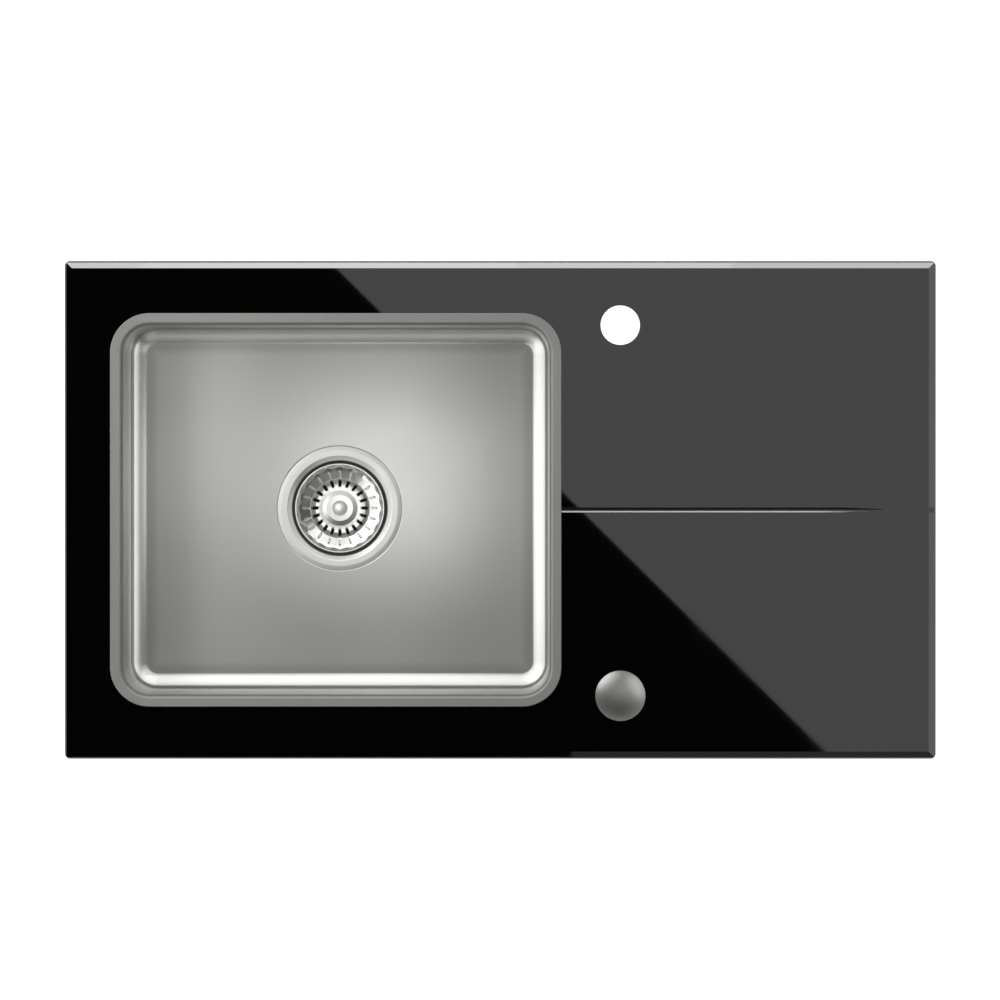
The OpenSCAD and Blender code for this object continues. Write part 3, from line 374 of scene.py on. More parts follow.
def mix_colour(tree, factor, first, second, blend="MIX"):
    return add_node(
        tree, "Mix", {0: factor, 6: first, 7: second}, data_type="RGBA", blend_type=blend
    )[2]


def outside(tree, x, y, half):
    """How far a point lies outside a rectangle round the origin, given by its two half sizes."""
    past = [
        math_node(tree, "SUBTRACT", math_node(tree, "ABSOLUTE", value), reach)
        for value, reach in zip((x, y), half)
    ]
    return math_node(tree, "MAXIMUM", *past)


def bump(tree, height, distance):
    """A normal from a height; distance is the full height in metres."""
    return add_node(tree, "Bump", {"Height": height, "Distance": distance})[0]


def shade(colour, share=1.0):
    """A colour times share, with full alpha."""
    return (colour[0] * share, colour[1] * share, colour[2] * share, 1.0)


def grey(level):
    return shade((1, 1, 1), level)


def new_group(name, inputs, outputs):
    """An empty node group: its inputs are Vector and the named ones with their defaults."""
    group = bpy.data.node_groups.new(name, "ShaderNodeTree")
    group.interface.new_socket("Vector", in_out="INPUT", socket_type="NodeSocketVector")
    for label, default in inputs.items():
        kind = "NodeSocketFloat" if isinstance(default, float) else "NodeSocketVector"
        group.interface.new_socket(
            label, in_out="INPUT", socket_type=kind).default_value = default
    for label in outputs:
        group.interface.new_socket(label, in_out="OUTPUT", socket_type="NodeSocketFloat")
    given = group.nodes.new("NodeGroupInput").outputs
    return group, given, group.nodes.new("NodeGroupOutput")


def fine_grain(name):
    """Fine stretched grain: a height for bumps, and a slower tone for colour and gloss."""
    group, given, end = new_group(
        name, {"Stretch": (1, 1, 1), "Scale": 1000.0, "Tone Scale": 20.0}, ["Height", "Tone"])
    stretched = add_node(
        group, "VectorMath", {0: given["Vector"], 1: given["Stretch"]}, operation="MULTIPLY"
    )[0]
    grain = noise(group, {
        "Vector": stretched, "Scale": given["Scale"], "Detail": 3.0, "Roughness": 0.6})
    tone = noise(group, {"Vector": stretched, "Scale": given["Tone Scale"], "Detail": 4.0})
    feed(group, end, {"Height": grain, "Tone": ramp(group, tone, 0.3, 0.7)})


def wiped_marks(name):
    """Faint wiped patches and dried droplets, as one mask."""
    group, given, end = new_group(name, {"Scale": 12.0, "Amount": 1.0}, ["Mask"])
    bent = noise(group, {
        "Vector": given["Vector"], "Scale": given["Scale"], "Detail": 5.0, "Roughness": 0.55,
        "Distortion": 0.8})
    spots = add_node(group, "TexVoronoi", {
        "Vector": given["Vector"], "Scale": product(group, given["Scale"], 14.0)})
    patches = ramp(group, bent, 0.48, 0.72)
    drops = ramp(group, spots["Distance"], 0.10, 0.05, 0.0, 0.5)
    both = math_node(group, "MAXIMUM", patches, drops)
    feed(group, end, {"Mask": product(group, both, given["Amount"])})


def settled_dust(name):
    """Dust that settles on upward faces, thicker in patches."""
    group, given, end = new_group(name, {"Amount": 0.3}, ["Mask"])
    up = split(group, add_node(group, "NewGeometry")["Normal"])[2]
    patches = noise(group, {"Vector": given["Vector"], "Scale": 60.0, "Detail": 6.0})
    feed(group, end, {"Mask": product(
        group, ramp(group, up, 0.2, 0.9), ramp(group, patches, 0.35, 0.65), given["Amount"])})


def moulded_skin(name):
    """The fine pitted skin of a moulded or cast surface."""
    group, given, end = new_group(name, {"Scale": 1500.0}, ["Height", "Tone"])
    pits = add_node(
        group, "TexVoronoi", {"Vector": given["Vector"], "Scale": given["Scale"]},
        feature="SMOOTH_F1")["Distance"]
    waves = noise(group, {
        "Vector": given["Vector"], "Scale": product(group, given["Scale"], 0.05), "Detail": 4.0})
    feed(group, end, {
        "Height": math_node(group, "ADD", pits, waves), "Tone": ramp(group, waves, 0.35, 0.65)})


GROUPS = {
    "Fine grain": fine_grain, "Wiped marks": wiped_marks, "Settled dust": settled_dust,
    "Moulded skin": moulded_skin
}


def group_node(tree, name, inputs):
    """The outputs of one of the shared groups, which is built when it is first asked for."""
    if name not in bpy.data.node_groups:
        GROUPS[name](name)
    return add_node(tree, "Group", inputs, node_tree=bpy.data.node_groups[name])


# Finishes: each gives the inputs of its material's shader

def metal(tree, coords, colour, rough, stretch=(1, 1, 1), grain=900.0, depth=2e-6, spread=0.04,
          tint=0.06, marks=0.0):
    """Bare or plated metal: grain that can be stretched, a slow tone, and wiped marks."""
    cloud = group_node(tree, "Fine grain", {
        "Vector": coords, "Stretch": stretch, "Scale": grain, "Tone Scale": 30.0})
    gloss = ramp(tree, cloud["Tone"], 0, 1, rough - spread, rough + spread)
    if marks:
        wiped = group_node(tree, "Wiped marks", {"Vector": coords, "Amount": marks})
        gloss = math_node(tree, "ADD", gloss, wiped["Mask"])
    base = mix_colour(tree, cloud["Tone"], shade(colour, 1 - tint), shade(colour, 1 + tint / 2))
    return {
        "Metallic": 1.0, "Base Color": base, "Roughness": gloss,
        "Normal": bump(tree, cloud["Height"], depth)}


def moulded(tree, coords, colour, rough, scale=1500.0, dust=0.25, tint=0.1):
    """Moulded plastic or rubber: a pitted skin, slow tone changes and a little settled dust."""
    pitted = group_node(tree, "Moulded skin", {"Vector": coords, "Scale": scale})
    base = mix_colour(tree, pitted["Tone"], shade(colour, 1 - tint), shade(colour, 1 + tint))
    settled = group_node(tree, "Settled dust", {"Vector": coords, "Amount": dust})["Mask"]
    gloss = ramp(tree, pitted["Tone"], 0, 1, rough - 0.05, rough + 0.05)
    return {
        "Base Color": mix_colour(tree, settled, base, (0.30, 0.29, 0.27, 1)),
        "Roughness": math_node(tree, "MULTIPLY_ADD", settled, 0.4, gloss),
        "Normal": bump(tree, pitted["Height"], 6e-6)}


# Half the width and depth of the glass inside its ground band; the groove's half width and its
# left end.
EDGE_HALF = (GLASS_HIGH.x - 1.3 * MM, GLASS_HIGH.y - 1.3 * MM)
GROOVE_HALF, GROOVE_LEFT = 2.3 * MM, 47 * MM


def black_glass(tree, coords, colour):
    """Polished black glass with wiped marks.

    The band along its edge is ground, which makes it duller and paler. The drain groove is duller
    too, and its front side is pale with a painted highlight up to where the groove fades out on
    the right.
    """
    x, y, z = split(tree, coords)
    edge = ramp(tree, outside(tree, x, y, EDGE_HALF), -0.2 * MM, 0.1 * MM)
    soft = 0.1 * MM
    groove = product(
        tree, ramp(tree, math_node(tree, "ABSOLUTE", y), GROOVE_HALF + soft, GROOVE_HALF - soft),
        ramp(tree, x, GROOVE_LEFT - MM, GROOVE_LEFT + MM),
        ramp(tree, z, GLASS_TOP - 0.03 * MM, GLASS_TOP - 0.08 * MM))
    # Painted highlight: a pale strip on the groove's front side, fading out towards its right end.
    flank_painted_highlight = product(
        tree, groove, ramp(tree, y, -0.8 * MM, -1.3 * MM), ramp(tree, x, 330 * MM, 270 * MM))
    wiped = group_node(tree, "Wiped marks", {"Vector": coords, "Scale": 9.0, "Amount": 0.02})
    gloss = math_node(tree, "ADD", wiped["Mask"], 0.022)
    gloss = math_node(tree, "MULTIPLY_ADD", groove, 0.22, gloss)
    ground = mix_colour(tree, edge, shade(colour), (0.05, 0.055, 0.052, 1))
    grain = group_node(tree, "Fine grain", {"Vector": coords, "Scale": 2500.0})
    # The pale colour mixed in here is the painted highlight on the groove's front side.
    return {
        "IOR": 1.5, "Base Color": mix_colour(tree, flank_painted_highlight, ground, (0.36, 0.37, 0.36, 1)),
        "Roughness": math_node(tree, "MULTIPLY_ADD", edge, 0.32, gloss),
        "Normal": bump(tree, product(tree, grain["Height"], edge), 3e-6)}


# Half the width and depth of the bowl's floor, inside the bend.
FLOOR_HALF = (174.8 * MM, 149.9 * MM)


def bowl_steel(tree, coords, colours):
    """Satin pressed steel, by its distance over the section from the rim's edge.

    The rim and the upper wall are duller, with lines along them, and painted darker as shade;
    the lower wall is painted darker as shade and runs into the floor's even grain. The floor has a
    band of painted shade along its outline, and the whole outside has painted shade and is duller.
    """
    v = split(tree, add_node(tree, "UVMap", uv_map="across")[0])[1]
    on_rim = ramp(tree, v, 60 * MM, 13 * MM)
    # Painted shade: where this mask is one, the walls get a darker copy of the bowl's colour.
    painted_wall_shade = ramp(tree, v, 178 * MM, 150 * MM)
    section = travelled(bowl_profile(bpy.context.scene.sink_sizes)[:, :2])
    turn = len(section) // 2
    below = ramp(tree, v, section[turn - 1], section[turn])
    x, y, _ = split(tree, coords)
    beyond = outside(tree, math_node(tree, "SUBTRACT", x, WASTE.x), y, FLOOR_HALF)
    # Painted shade: a darker band along the floor's outline, next to the walls.
    band = product(
        tree, ramp(tree, beyond, -13 * MM, -3 * MM), ramp(tree, beyond, 2.0 * MM, 1.0 * MM))
    base = mix_colour(tree, painted_wall_shade, shade(colours.bowl), shade(colours.bowl, 0.66))
    # Painted shade: the rim and upper wall take the darker rim colour, which dims the highlight on
    # the roll.
    base = mix_colour(tree, on_rim, base, shade(colours.rim))
    # The band of painted shade darkens the floor's colour to 0.8 of itself.
    base = mix_colour(tree, band, base, grey(0.8), blend="MULTIPLY")
    # Painted shade: the whole outside gets a darker copy of the bowl's colour; its duller gloss
    # below is the finish.
    base = mix_colour(tree, below, base, shade(colours.bowl, 0.6))

    lines = noise(
        tree, {"W": v, "Scale": 900.0, "Detail": 2.0, "Roughness": 0.7}, noise_dimensions="1D")
    streak = product(tree, math_node(tree, "SUBTRACT", lines, 0.5), on_rim)
    cloud = group_node(tree, "Fine grain", {"Vector": coords, "Scale": 1400.0, "Tone Scale": 9.0})
    level = math_node(tree, "MULTIPLY_ADD", cloud["Tone"], 0.15, streak)
    lined = mix_colour(tree, math_node(tree, "ADD", level, 0.42), grey(0.86), grey(1.12))
    wiped = group_node(tree, "Wiped marks", {"Vector": coords, "Scale": 7.0, "Amount": 0.015})
    gloss = math_node(tree, "MULTIPLY_ADD", on_rim, 0.31, 0.31)
    gloss = math_node(tree, "MULTIPLY_ADD", below, 0.15, gloss)
    height = math_node(
        tree, "MULTIPLY_ADD", streak, 2.0, product(tree, cloud["Height"], 0.3))
    return {
        "Metallic": 1.0, "Base Color": mix_colour(tree, 1.0, base, lined, blend="MULTIPLY"),
        "Roughness": math_node(tree, "ADD", gloss, wiped["Mask"]),
        "Normal": bump(tree, height, 2e-6)}


def zinc_plate(tree, coords, colour):
    """Zinc plated steel with its soft crystal spangle."""
    crystals = add_node(tree, "TexVoronoi", {"Vector": coords, "Scale": 170.0})
    pick = add_node(tree, "SeparateColor", {0: crystals["Color"]})[0]
    dusted = group_node(tree, "Settled dust", {"Vector": coords, "Amount": 0.2})["Mask"]
    base = mix_colour(tree, pick, shade(colour, 0.86), shade(colour, 1.08))
    grain = group_node(tree, "Fine grain", {"Vector": coords, "Scale": 700.0})
    return {
        "Metallic": 0.9, "Base Color": mix_colour(tree, dusted, base, (0.34, 0.33, 0.31, 1)),
        "Roughness": ramp(tree, pick, 0, 1, 0.34, 0.50),
        "Normal": bump(tree, grain["Height"], 4e-6)}


def sound_pad(tree, coords, colour):
    """Pressed bitumen felt with short pale fibres."""
    fibres = group_node(tree, "Fine grain", {
        "Vector": coords, "Stretch": (1, 0.12, 1), "Scale": 900.0, "Tone Scale": 25.0})["Height"]
    return {
        "Base Color": mix_colour(tree, ramp(tree, fibres, 0.5, 0.75), shade(colour), grey(0.12)),
        "Roughness": 0.85, "Normal": bump(tree, fibres, 8e-5)}


def finish(slot):
    """The material of a slot, made the first time that it is asked for."""
    name = "finish " + slot
    if name in bpy.data.materials:
        return bpy.data.materials[name]
    colours = bpy.context.scene.sink_colours
    smooth = {"depth": 6e-7, "tint": 0.03}
    make, colour, values = {
        "black_glass": (black_glass, colours.glass, {}),
        "brushed_bowl": (bowl_steel, colours, {}),
        "polished_steel": (
            metal, colours.polished, dict(smooth, rough=0.24, spread=0.02, marks=0.02)),
        "satin_flange": (metal, colours.polished, dict(smooth, rough=0.38, spread=0.03)),
        # Painted light: the peg gets the polished steel's colour 1.2 times lighter, so that its
        # dome looks lit.
        "satin_peg_painted_light": (metal, shade(colours.polished, 1.2), dict(smooth, rough=0.58, spread=0.03)),
        "satin_steel": (metal, colours.knob, dict(
            rough=0.52, stretch=(1, 1, 0.1), grain=1600.0, depth=1.5e-6, tint=0.03)),
        "plain_steel": (metal, shade(colours.polished, 0.8), dict(
            rough=0.33, stretch=(0.2, 0.2, 1), grain=1400.0, depth=4e-6, tint=0.12)),
        "zinc_plate": (zinc_plate, colours.zinc, {}),
        "brass": (metal, colours.brass, dict(rough=0.28, grain=1200.0, tint=0.12)),
        "black_rubber": (moulded, colours.rubber, dict(rough=0.66, scale=900.0, dust=0.03)),
        "black_sealant": (moulded, colours.rubber, dict(rough=0.42, scale=250.0, dust=0.0)),
        "sound_pad": (sound_pad, (0.035, 0.035, 0.038), {}),
        "dark_plastic": (moulded, colours.dark, dict(rough=0.42)),
        "grey_plastic": (moulded, colours.grey, dict(rough=0.48)),
        "white_plastic": (moulded, colours.white, dict(rough=0.38, dust=0.1, tint=0.03)),
    }[slot]
    material = bpy.data.materials.new(name)
    tree, out = emptied(material, "OutputMaterial")
    shader = tree.nodes.new("ShaderNodeBsdfPrincipled")
    feed(tree, out, {0: shader.outputs[0]})
    coords = add_node(tree, "TexCoord")["Object"]
    feed(tree, shader, make(tree, coords, colour, **values))
    return material


def dress(*nodes):
    """Gives CAD nodes the material of their slot in the record."""
    slots = {p["node"]: p["material_slot"] for p in frame["record"]["subparts"]}
    for node in nodes:
        coat(frame["nodes"][node], slots[node])


# Operators, one for each piece or group of like pieces

class SINK_OT_glass(bpy.types.Operator):
    """Dress the glass top."""

    bl_idname = "sink.glass"
    bl_label = "Glass top"

    def execute(self, context):
        dress("glass_top")
        return {"FINISHED"}


def bowl_profile(sizes):
    """The bowl's closed section, row by row: inset, height from the rim, share, radius.

    Share 0 is a point at that inset from the rim's outline, share 1 a point at that radius from
    the waste's axis, and between them the two are mixed. The section runs over the upper skin
    from the rim's edge to the hole, then back under it one sheet lower.
    """
    sheet, depth, roll = sizes.sheet, sizes.bowl_depth, sizes.roll
    lean = math.tan(sizes.draft)
    slant = 1 / math.cos(sizes.draft)
    top_x = sizes.rim_width + roll * (slant - lean)
    edge_r, rim_fall = 0.7 * MM, 0.35 * MM
    hole, recess_r = 44.5 * MM, 56.45 * MM
    flat_r = recess_r + 4 * MM

    def wall(x, z):
        return top_x + x + z * lean

    # The bend turns off the floor in a small arc, goes on in a soft one and closes in a third:
    # across falls by radius times the rise of the sine, up grows by radius times the fall of
    # the cosine.
    low, high = math.radians(14), math.radians(30)
    foot, soft = 4 * MM, sizes.soft_bend
    last = (sizes.fillet - foot * math.sin(low) - soft * (math.sin(high) - math.sin(low))) / (
        1 - math.sin(high))
    tilt = np.concatenate([
        np.linspace(0, low, 6), np.linspace(low, high, 9)[1:],
        np.linspace(high, math.pi / 2 - sizes.draft, 12)[1:]
    ])
    middle_tilt = (tilt[1:] + tilt[:-1]) / 2
    radius = np.select([middle_tilt < low, middle_tilt < high], [foot, soft], last)
    across = wall(sizes.fillet, depth) - np.concatenate([
        [0], np.cumsum(radius * np.diff(np.sin(tilt)))])
    up = -depth - np.concatenate([[0], np.cumsum(radius * np.diff(np.cos(tilt)))])
    bend = pairs(across, up)[::-1]
    bend_under = bend - sheet * pairs(np.sin(tilt), np.cos(tilt))[::-1]
    floor_x = wall(sizes.fillet * 1.02, depth)
    upper = np.vstack([rounded([
        (0, -sheet, 0), (0, 0, edge_r), (wall(0, -rim_fall), -rim_fall, roll), (*bend[0], 0)
    ], steps=14)[:-1], bend, [(floor_x, -depth)]])
    under = np.vstack([[(floor_x, -depth - sheet)], bend_under[::-1], rounded([
        (*bend_under[0], 0), (wall(-sheet * slant, sheet), -sheet, roll - sheet),
        (2 * MM, -sheet, 0)
    ], steps=14)[1:]])
    dish = [
        (flat_r, -depth, 0), (recess_r + 0.65 * MM, -depth, 0.4 * MM),
        (recess_r + 0.05 * MM, -depth - 0.25 * MM, 0.1 * MM),
        (recess_r, -depth - sizes.recess, 0.6 * MM), (hole, -depth - sizes.recess, 0)
    ]
    inner = rounded(dish, steps=5)
    lowered = rounded([(r, z - sheet, k) for r, z, k in dish[::-1]], steps=5)
    floor = np.array([
        (floor_x, -depth, share, flat_r) for share in np.linspace(0, 1, 12)[1:-1]])
    floor_under = floor[::-1] - np.array((0, sheet, 0, 0))

    def rows(points, share):
        first, height = points.T
        flat = np.zeros(len(points))
        inset, radius = (flat + floor_x, first) if share else (first, flat)
        return np.stack([inset, height, flat + share, radius], axis=1)

    return np.vstack([
        rows(upper, 0), floor, rows(inner, 1), rows(lowered, 1), floor_under, rows(under, 0)])


class SINK_OT_bowl(bpy.types.Operator):
    """Press the bowl: one closed sheet swept round its rim, with its floor and recess."""

    bl_idname = "sink.bowl"
    bl_label = "Bowl"

    def execute(self, context):
        sizes = context.scene.sink_sizes
        half_w = (BOWL_HIGH.x - BOWL_LOW.x) / 2
        half_d = (BOWL_HIGH.y - BOWL_LOW.y) / 2
        centres, normals = round_rect_frame(half_w, half_d, sizes.rim_corner)
        count = len(centres)
        rows = bowl_profile(sizes)
        inset, height, share, radius = (rows[:, k, None, None] for k in range(4))
        # A point is the outline at its inset times (1 less share), plus the circle round the
        # waste times share. The circle starts at the middle of the rim's first side.
        outline = centres + (sizes.rim_corner - inset) * normals
        turn = (np.arange(count) - RIM_STEPS / 2) * 2 * math.pi / count
        circle = radius * direction(turn)
        plan = (1 - share) * outline + share * circle + np.array((WASTE.x, 0))
        points = raised(plan, RIM_TOP + height[..., 0])
        # The drain groove's end notches the right-hand rim from above: a bell curve over Y,
        # fading out to the left.
        notch = 0.55 * MM * np.exp(-((points[..., 1] / (1.3 * MM)) ** 2))
        near = np.clip((points[..., 0] - (BOWL_HIGH.x - 3 * MM)) / (1.2 * MM), 0, 1)
        on_rim = points[..., 2] > RIM_TOP - sizes.sheet
        points[..., 2] -= np.where(on_rim, notch * near, 0)
        uv = pairs(np.arange(count) / count, travelled(rows[:, :2])[:, None])
        bowl = grid_piece("steel_bowl", points, uv, rows_closed=True)
        place(bowl, "sink", "brushed_bowl", "bowl")
        dress("rim_bead", "sound_pads")
        return {"FINISHED"}


class SINK_OT_waste(bpy.types.Operator):
    """Press the waste's flange with its cup, and dress the waste below it.

    The flange and the cup's wall are a profile turned round the axis. Each sixth of the cup's
    floor is a ring of points mixed between its own outline and its drain hole.
    """

    bl_idname = "sink.waste"
    bl_label = "Waste"

    def execute(self, context):
        floor = RIM_TOP - context.scene.sink_sizes.bowl_depth
        profile = rounded(MM * np.array([
            (56.4, -1.2, 0), (56.4, 0.1, 0.35), (52.6, 0.5, 10), (47.4, 0.45, 2.5),
            (43.1, -1.6, 1.0), (43.0, -4.0, 0.4), (39.3, -4.0, 1.0), (28.6, -25, 2.0),
            (26.4, -25, 0)
        ]))
        count = 120
        angle = np.arange(count) * 2 * math.pi / count
        pieces = [raised(profile[:, 0, None, None] * direction(angle), profile[:, 1:])]

        cup_r, cup_floor = profile[-1]
        screw_r, drain_r, drain_place = 4.05 * MM, 4.5 * MM, np.array((14.5 * MM, 0))
        arc = np.radians(np.linspace(-30, 30, count // 6 + 1))
        right, left = direction(np.radians(30)), direction(np.radians(-30))
        inwards = (cup_r + np.linspace(0, 1, 9)[1:-1] * (screw_r - cup_r))[:, None]
        outline = np.vstack([
            cup_r * direction(arc), inwards * right, screw_r * direction(arc[::-1]),
            inwards[::-1] * left
        ])
        hole = drain_place + drain_r * unit(outline - drain_place)
        mix = np.linspace(0, 1, 5)[:, None, None]
        sector = (1 - mix) * outline + mix * hole
        for n in range(6):
            cosine, sine = direction(np.radians(60 * n + 30))
            pieces.append(raised(sector @ np.array(((cosine, sine), (-sine, cosine))), cup_floor))
        made = [
            grid_piece("flange_part", part + np.array((WASTE.x, 0, floor)),
                       np.zeros(part.shape[:2] + (2,)))
            for part in pieces
        ]
        flange = joined("flange_and_cup", made, sharp=40)
        skin(flange, 0.8 * MM)
        place(flange, "sink", "polished_steel", "waste_flange", look="satin_flange")
        dress("flange_gasket", "body_gasket", "waste_body", "hollow_screw", "lift_pin")
        return {"FINISHED"}


class SINK_OT_basket(bpy.types.Operator):
    """Press the slotted basket, and dress its peg and rubbers.

    The basket is a profile turned round the axis. Its rows at the two ends of the slots are
    pulled along half circles, and the faces between them are left out. Beyond each slot a trough
    is taken off the height, and the edge swells in plan.
    """

    bl_idname = "sink.basket"
    bl_label = "Basket"

    def execute(self, context):
        sizes = context.scene.sink_sizes
        floor = RIM_TOP - sizes.bowl_depth
        half_slot = sizes.slot_width / 2
        slot_in, slot_out = 19.4 * MM, 25.7 * MM
        flute_in, flute_out = 27.6 * MM, 33.4 * MM
        edge_r, edge_spread = 36.4 * MM, 1.1 * MM
        profile = rounded(MM * np.array([
            (4.05, -12.6, 0), (11.8, -12.85, 4), (16.0, -13.5, 4), (20.0, -13.7, 0),
            (22.7, -13.45, 1.5), (26.8, -9.0, 2.0), (36.2, -5.2, 0.8), (39.4, -2.4, 0.6),
            (40.9, -2.4, 0)
        ]), steps=6)

        # Rows: the profile's own, but for those close to a slot's end, and more along the slots,
        # along the flutes and round the hole in the middle.
        radii = profile[:, 0]
        close = (abs(radii - slot_in) < 1.0 * MM) | (abs(radii - slot_out) < 0.7 * MM)
        slot_ends = (slot_in + half_slot, slot_out - half_slot)
        radii = np.unique(np.round(np.concatenate([
            radii[~close], np.linspace(*slot_ends, 10),
            np.linspace(flute_in - 0.6 * MM, flute_out + 0.6 * MM, 14),
            [4.3 * MM, 4.8 * MM, 8 * MM, slot_in - 0.7 * MM, slot_out + 0.5 * MM]]), 7))
        first, last = (int(np.argmin(abs(radii - end))) for end in slot_ends)
        row = np.arange(len(radii))

        # Columns across one share of the ring: nine across the slot, then out to the middle
        # of the land on each side.
        share = 2 * math.pi / sizes.slots
        u = np.array((-1, -0.87, -0.6, -0.3, 0, 0.3, 0.6, 0.87, 1))
        land = np.array((0.25, 0.6))
        in_slot = np.arcsin(half_slot / np.clip(radii, slot_in, slot_out))[:, None]
        angles = np.concatenate([
            u * in_slot, in_slot + land * (share / 2 - in_slot), in_slot * 0 + share / 2,
            share - in_slot - land[::-1] * (share / 2 - in_slot)
        ], axis=1)
        per_share = angles.shape[1]
        from_slot = np.minimum(abs(angles), abs(share - angles))
        pull = ((row == last) * 1.0 - (row == first))[:, None] * half_slot
        across = np.concatenate([np.sqrt(1 - u ** 2), np.zeros(per_share - len(u))])
        radius = radii[:, None] + pull * across
        level = np.interp(radius, profile[:, 0], profile[:, 1])
        inside = np.clip((radii - flute_in + 0.5 * MM) / MM, 0, 1) * np.clip(
            (flute_out + 0.5 * MM - radii) / MM, 0, 1)
        trough = np.clip(1.7 - from_slot * radii[:, None] / (0.5 * MM), 0, 1)
        level = level - sizes.flute_depth * inside[:, None] * trough
        edge = np.exp(-(((radii - edge_r) / edge_spread) ** 2))[:, None]
        radius = radius + sizes.scallop * edge * (1 - from_slot / (share / 2)) ** 1.4

        turn = math.radians(90) + share * np.arange(sizes.slots)[:, None]
        angle = (turn[None] + angles[:, None, :]).reshape(len(radii), -1)
        radius = np.tile(radius, (1, sizes.slots))
        level = np.tile(level, (1, sizes.slots))
        plan = radius[..., None] * direction(angle) + np.array((WASTE.x, 0))
        slot_columns = np.tile(np.arange(per_share) < len(u) - 1, sizes.slots)
        slot_rows = (row[:-1] >= first) & (row[:-1] < last)
        sheet = grid_piece(
            "basket_part", raised(plan, floor + level), pairs(angle, radius),
            keep=~(slot_rows[:, None] & slot_columns))
        basket = joined("strainer_basket", [sheet], sharp=35)
        skin(basket, 0.8 * MM)
        place(basket, "basket_plug", "polished_steel", "basket")
        dress("basket_seal", "stopper_washer")
        # The peg's finish holds painted light: a lighter copy of the polished steel.
        coat(frame["nodes"]["basket_peg"], "satin_peg_painted_light")
        return {"FINISHED"}


class SINK_OT_knob(bpy.types.Operator):
    """Dress the knob with its spindle, sleeve and nut."""

    bl_idname = "sink.knob"
    bl_label = "Knob"

    def execute(self, context):
        dress("control_knob", "knob_set_screw", "control_spindle", "knob_pinion", "control_rack",
              "control_wire", "control_sleeve", "control_gasket", "control_washer",
              "control_nut", "control_case", "control_cover", "control_cover_screws")
        return {"FINISHED"}


class SINK_OT_frame(bpy.types.Operator):
    """Dress the seal, the support frame and the clips."""

    bl_idname = "sink.frame"
    bl_label = "Frame and clips"

    def execute(self, context):
        dress("seal_strip", "support_frame", "clip_nuts")
        for k in range(1, 7):
            dress(f"clip_screw_{k}", f"clip_claw_{k}")
        return {"FINISHED"}


class SINK_OT_gear(bpy.types.Operator):
    """Dress the lift gear beside the waste."""

    bl_idname = "sink.gear"
    bl_label = "Lift gear"

    def execute(self, context):
        dress("cam_shaft", "lift_cam", "cam_pinion", "shaft_seal", "waste_rack", "waste_wire",
              "lift_case", "lift_cover", "lift_cover_screws", "cable_ferrules")
        return {"FINISHED"}


# The cable's route, as the part's source has it: its start at the knob, its end at the waste, and
# shares of the way from the end to the start.
CABLE_START = np.array((116.3, -127.954, -28.5)) * MM
CABLE_END = np.array((-109.354, -44.5, -251.85)) * MM
CABLE_BEND = np.array([
    (0.999, 0.629, 0.989), (0.990, 0.413, 0.957), (0.977, 0.234, 0.904),
    (0.959, 0.114, 0.828), (0.937, 0.042, 0.743), (0.910, 0.006, 0.649),
    (0.879, -0.006, 0.550), (0.839, -0.006, 0.452), (0.790, -0.006, 0.353),
    (0.728, -0.006, 0.259), (0.653, -0.006, 0.174), (0.564, -0.006, 0.102),
    (0.462, -0.006, 0.049), (0.352, -0.006, 0.015), (0.236, -0.006, 0.001)
])


def smooth_route(points, steps):
    """A smooth curve through points: the cubic that leaves each point along the line between its
    two neighbours."""
    padded = np.vstack([points[:1], points, points[-1:]])
    p0, p1, p2, p3 = padded[:-3, None], padded[1:-2, None], padded[2:-1, None], padded[3:, None]
    t = np.linspace(0, 1, steps, endpoint=False)[None, :, None]
    curve = 0.5 * (2 * p1 + (p2 - p0) * t + (2 * p0 - 5 * p1 + 4 * p2 - p3) * t ** 2
                   + (3 * p1 - p0 - 3 * p2 + p3) * t ** 3)
    return np.vstack([curve.reshape(-1, 3), points[-1:]])


class SINK_OT_cable(bpy.types.Operator):
    """Sweep the control cable's sheath along its route between the two ferrules.

    A point is the path's point plus radius times (cosine times side plus sine times up).
    """

    bl_idname = "sink.cable"
    bl_label = "Cable"

    def execute(self, context):
        route = np.vstack([
            CABLE_START, CABLE_START + np.array((0, 10, 0)) * MM,
            CABLE_END + CABLE_BEND * (CABLE_START - CABLE_END),
            CABLE_END + np.array((25, 0, 0)) * MM, CABLE_END
        ])
        path = smooth_route(route, 6)
        along = unit(np.gradient(path, axis=0))
        side = unit(np.cross(along, (1, 1, 1)))
        up = np.cross(along, side)
        turn = np.linspace(0, 2 * math.pi, 24, endpoint=False)[:, None]
        ring = np.cos(turn) * side[:, None] + np.sin(turn) * up[:, None]
        # The ends are closed by drawing the first and last rings in to the centre line.
        grow = np.full(len(path) + 4, 2.5 * MM)
        grow[[0, 1, -2, -1]] = (0, 2.2 * MM, 2.2 * MM, 0)
        index = np.clip(np.arange(-2, len(path) + 2), 0, len(path) - 1)
        points = path[index][:, None] + grow[:, None, None] * ring[index]
        uv = pairs(turn.ravel() / (2 * math.pi), travelled(path)[index][:, None])
        sheath = grid_piece("cable_tube", points, uv)
        place(sheath, "sink", "grey_plastic", "cable_sheath")
        return {"FINISHED"}


# Studio

def aim(thing, place_at, target, up):
    """Puts a lamp or camera at a place and turns it to a target, with up at its top."""
    forward = (Vector(target) - Vector(place_at)).normalized()
    right = forward.cross(Vector(up)).normalized()
    turn = Matrix((right, right.cross(forward), -forward)).transposed()
    thing.matrix_world = Matrix.Translation(place_at) @ turn.to_4x4()


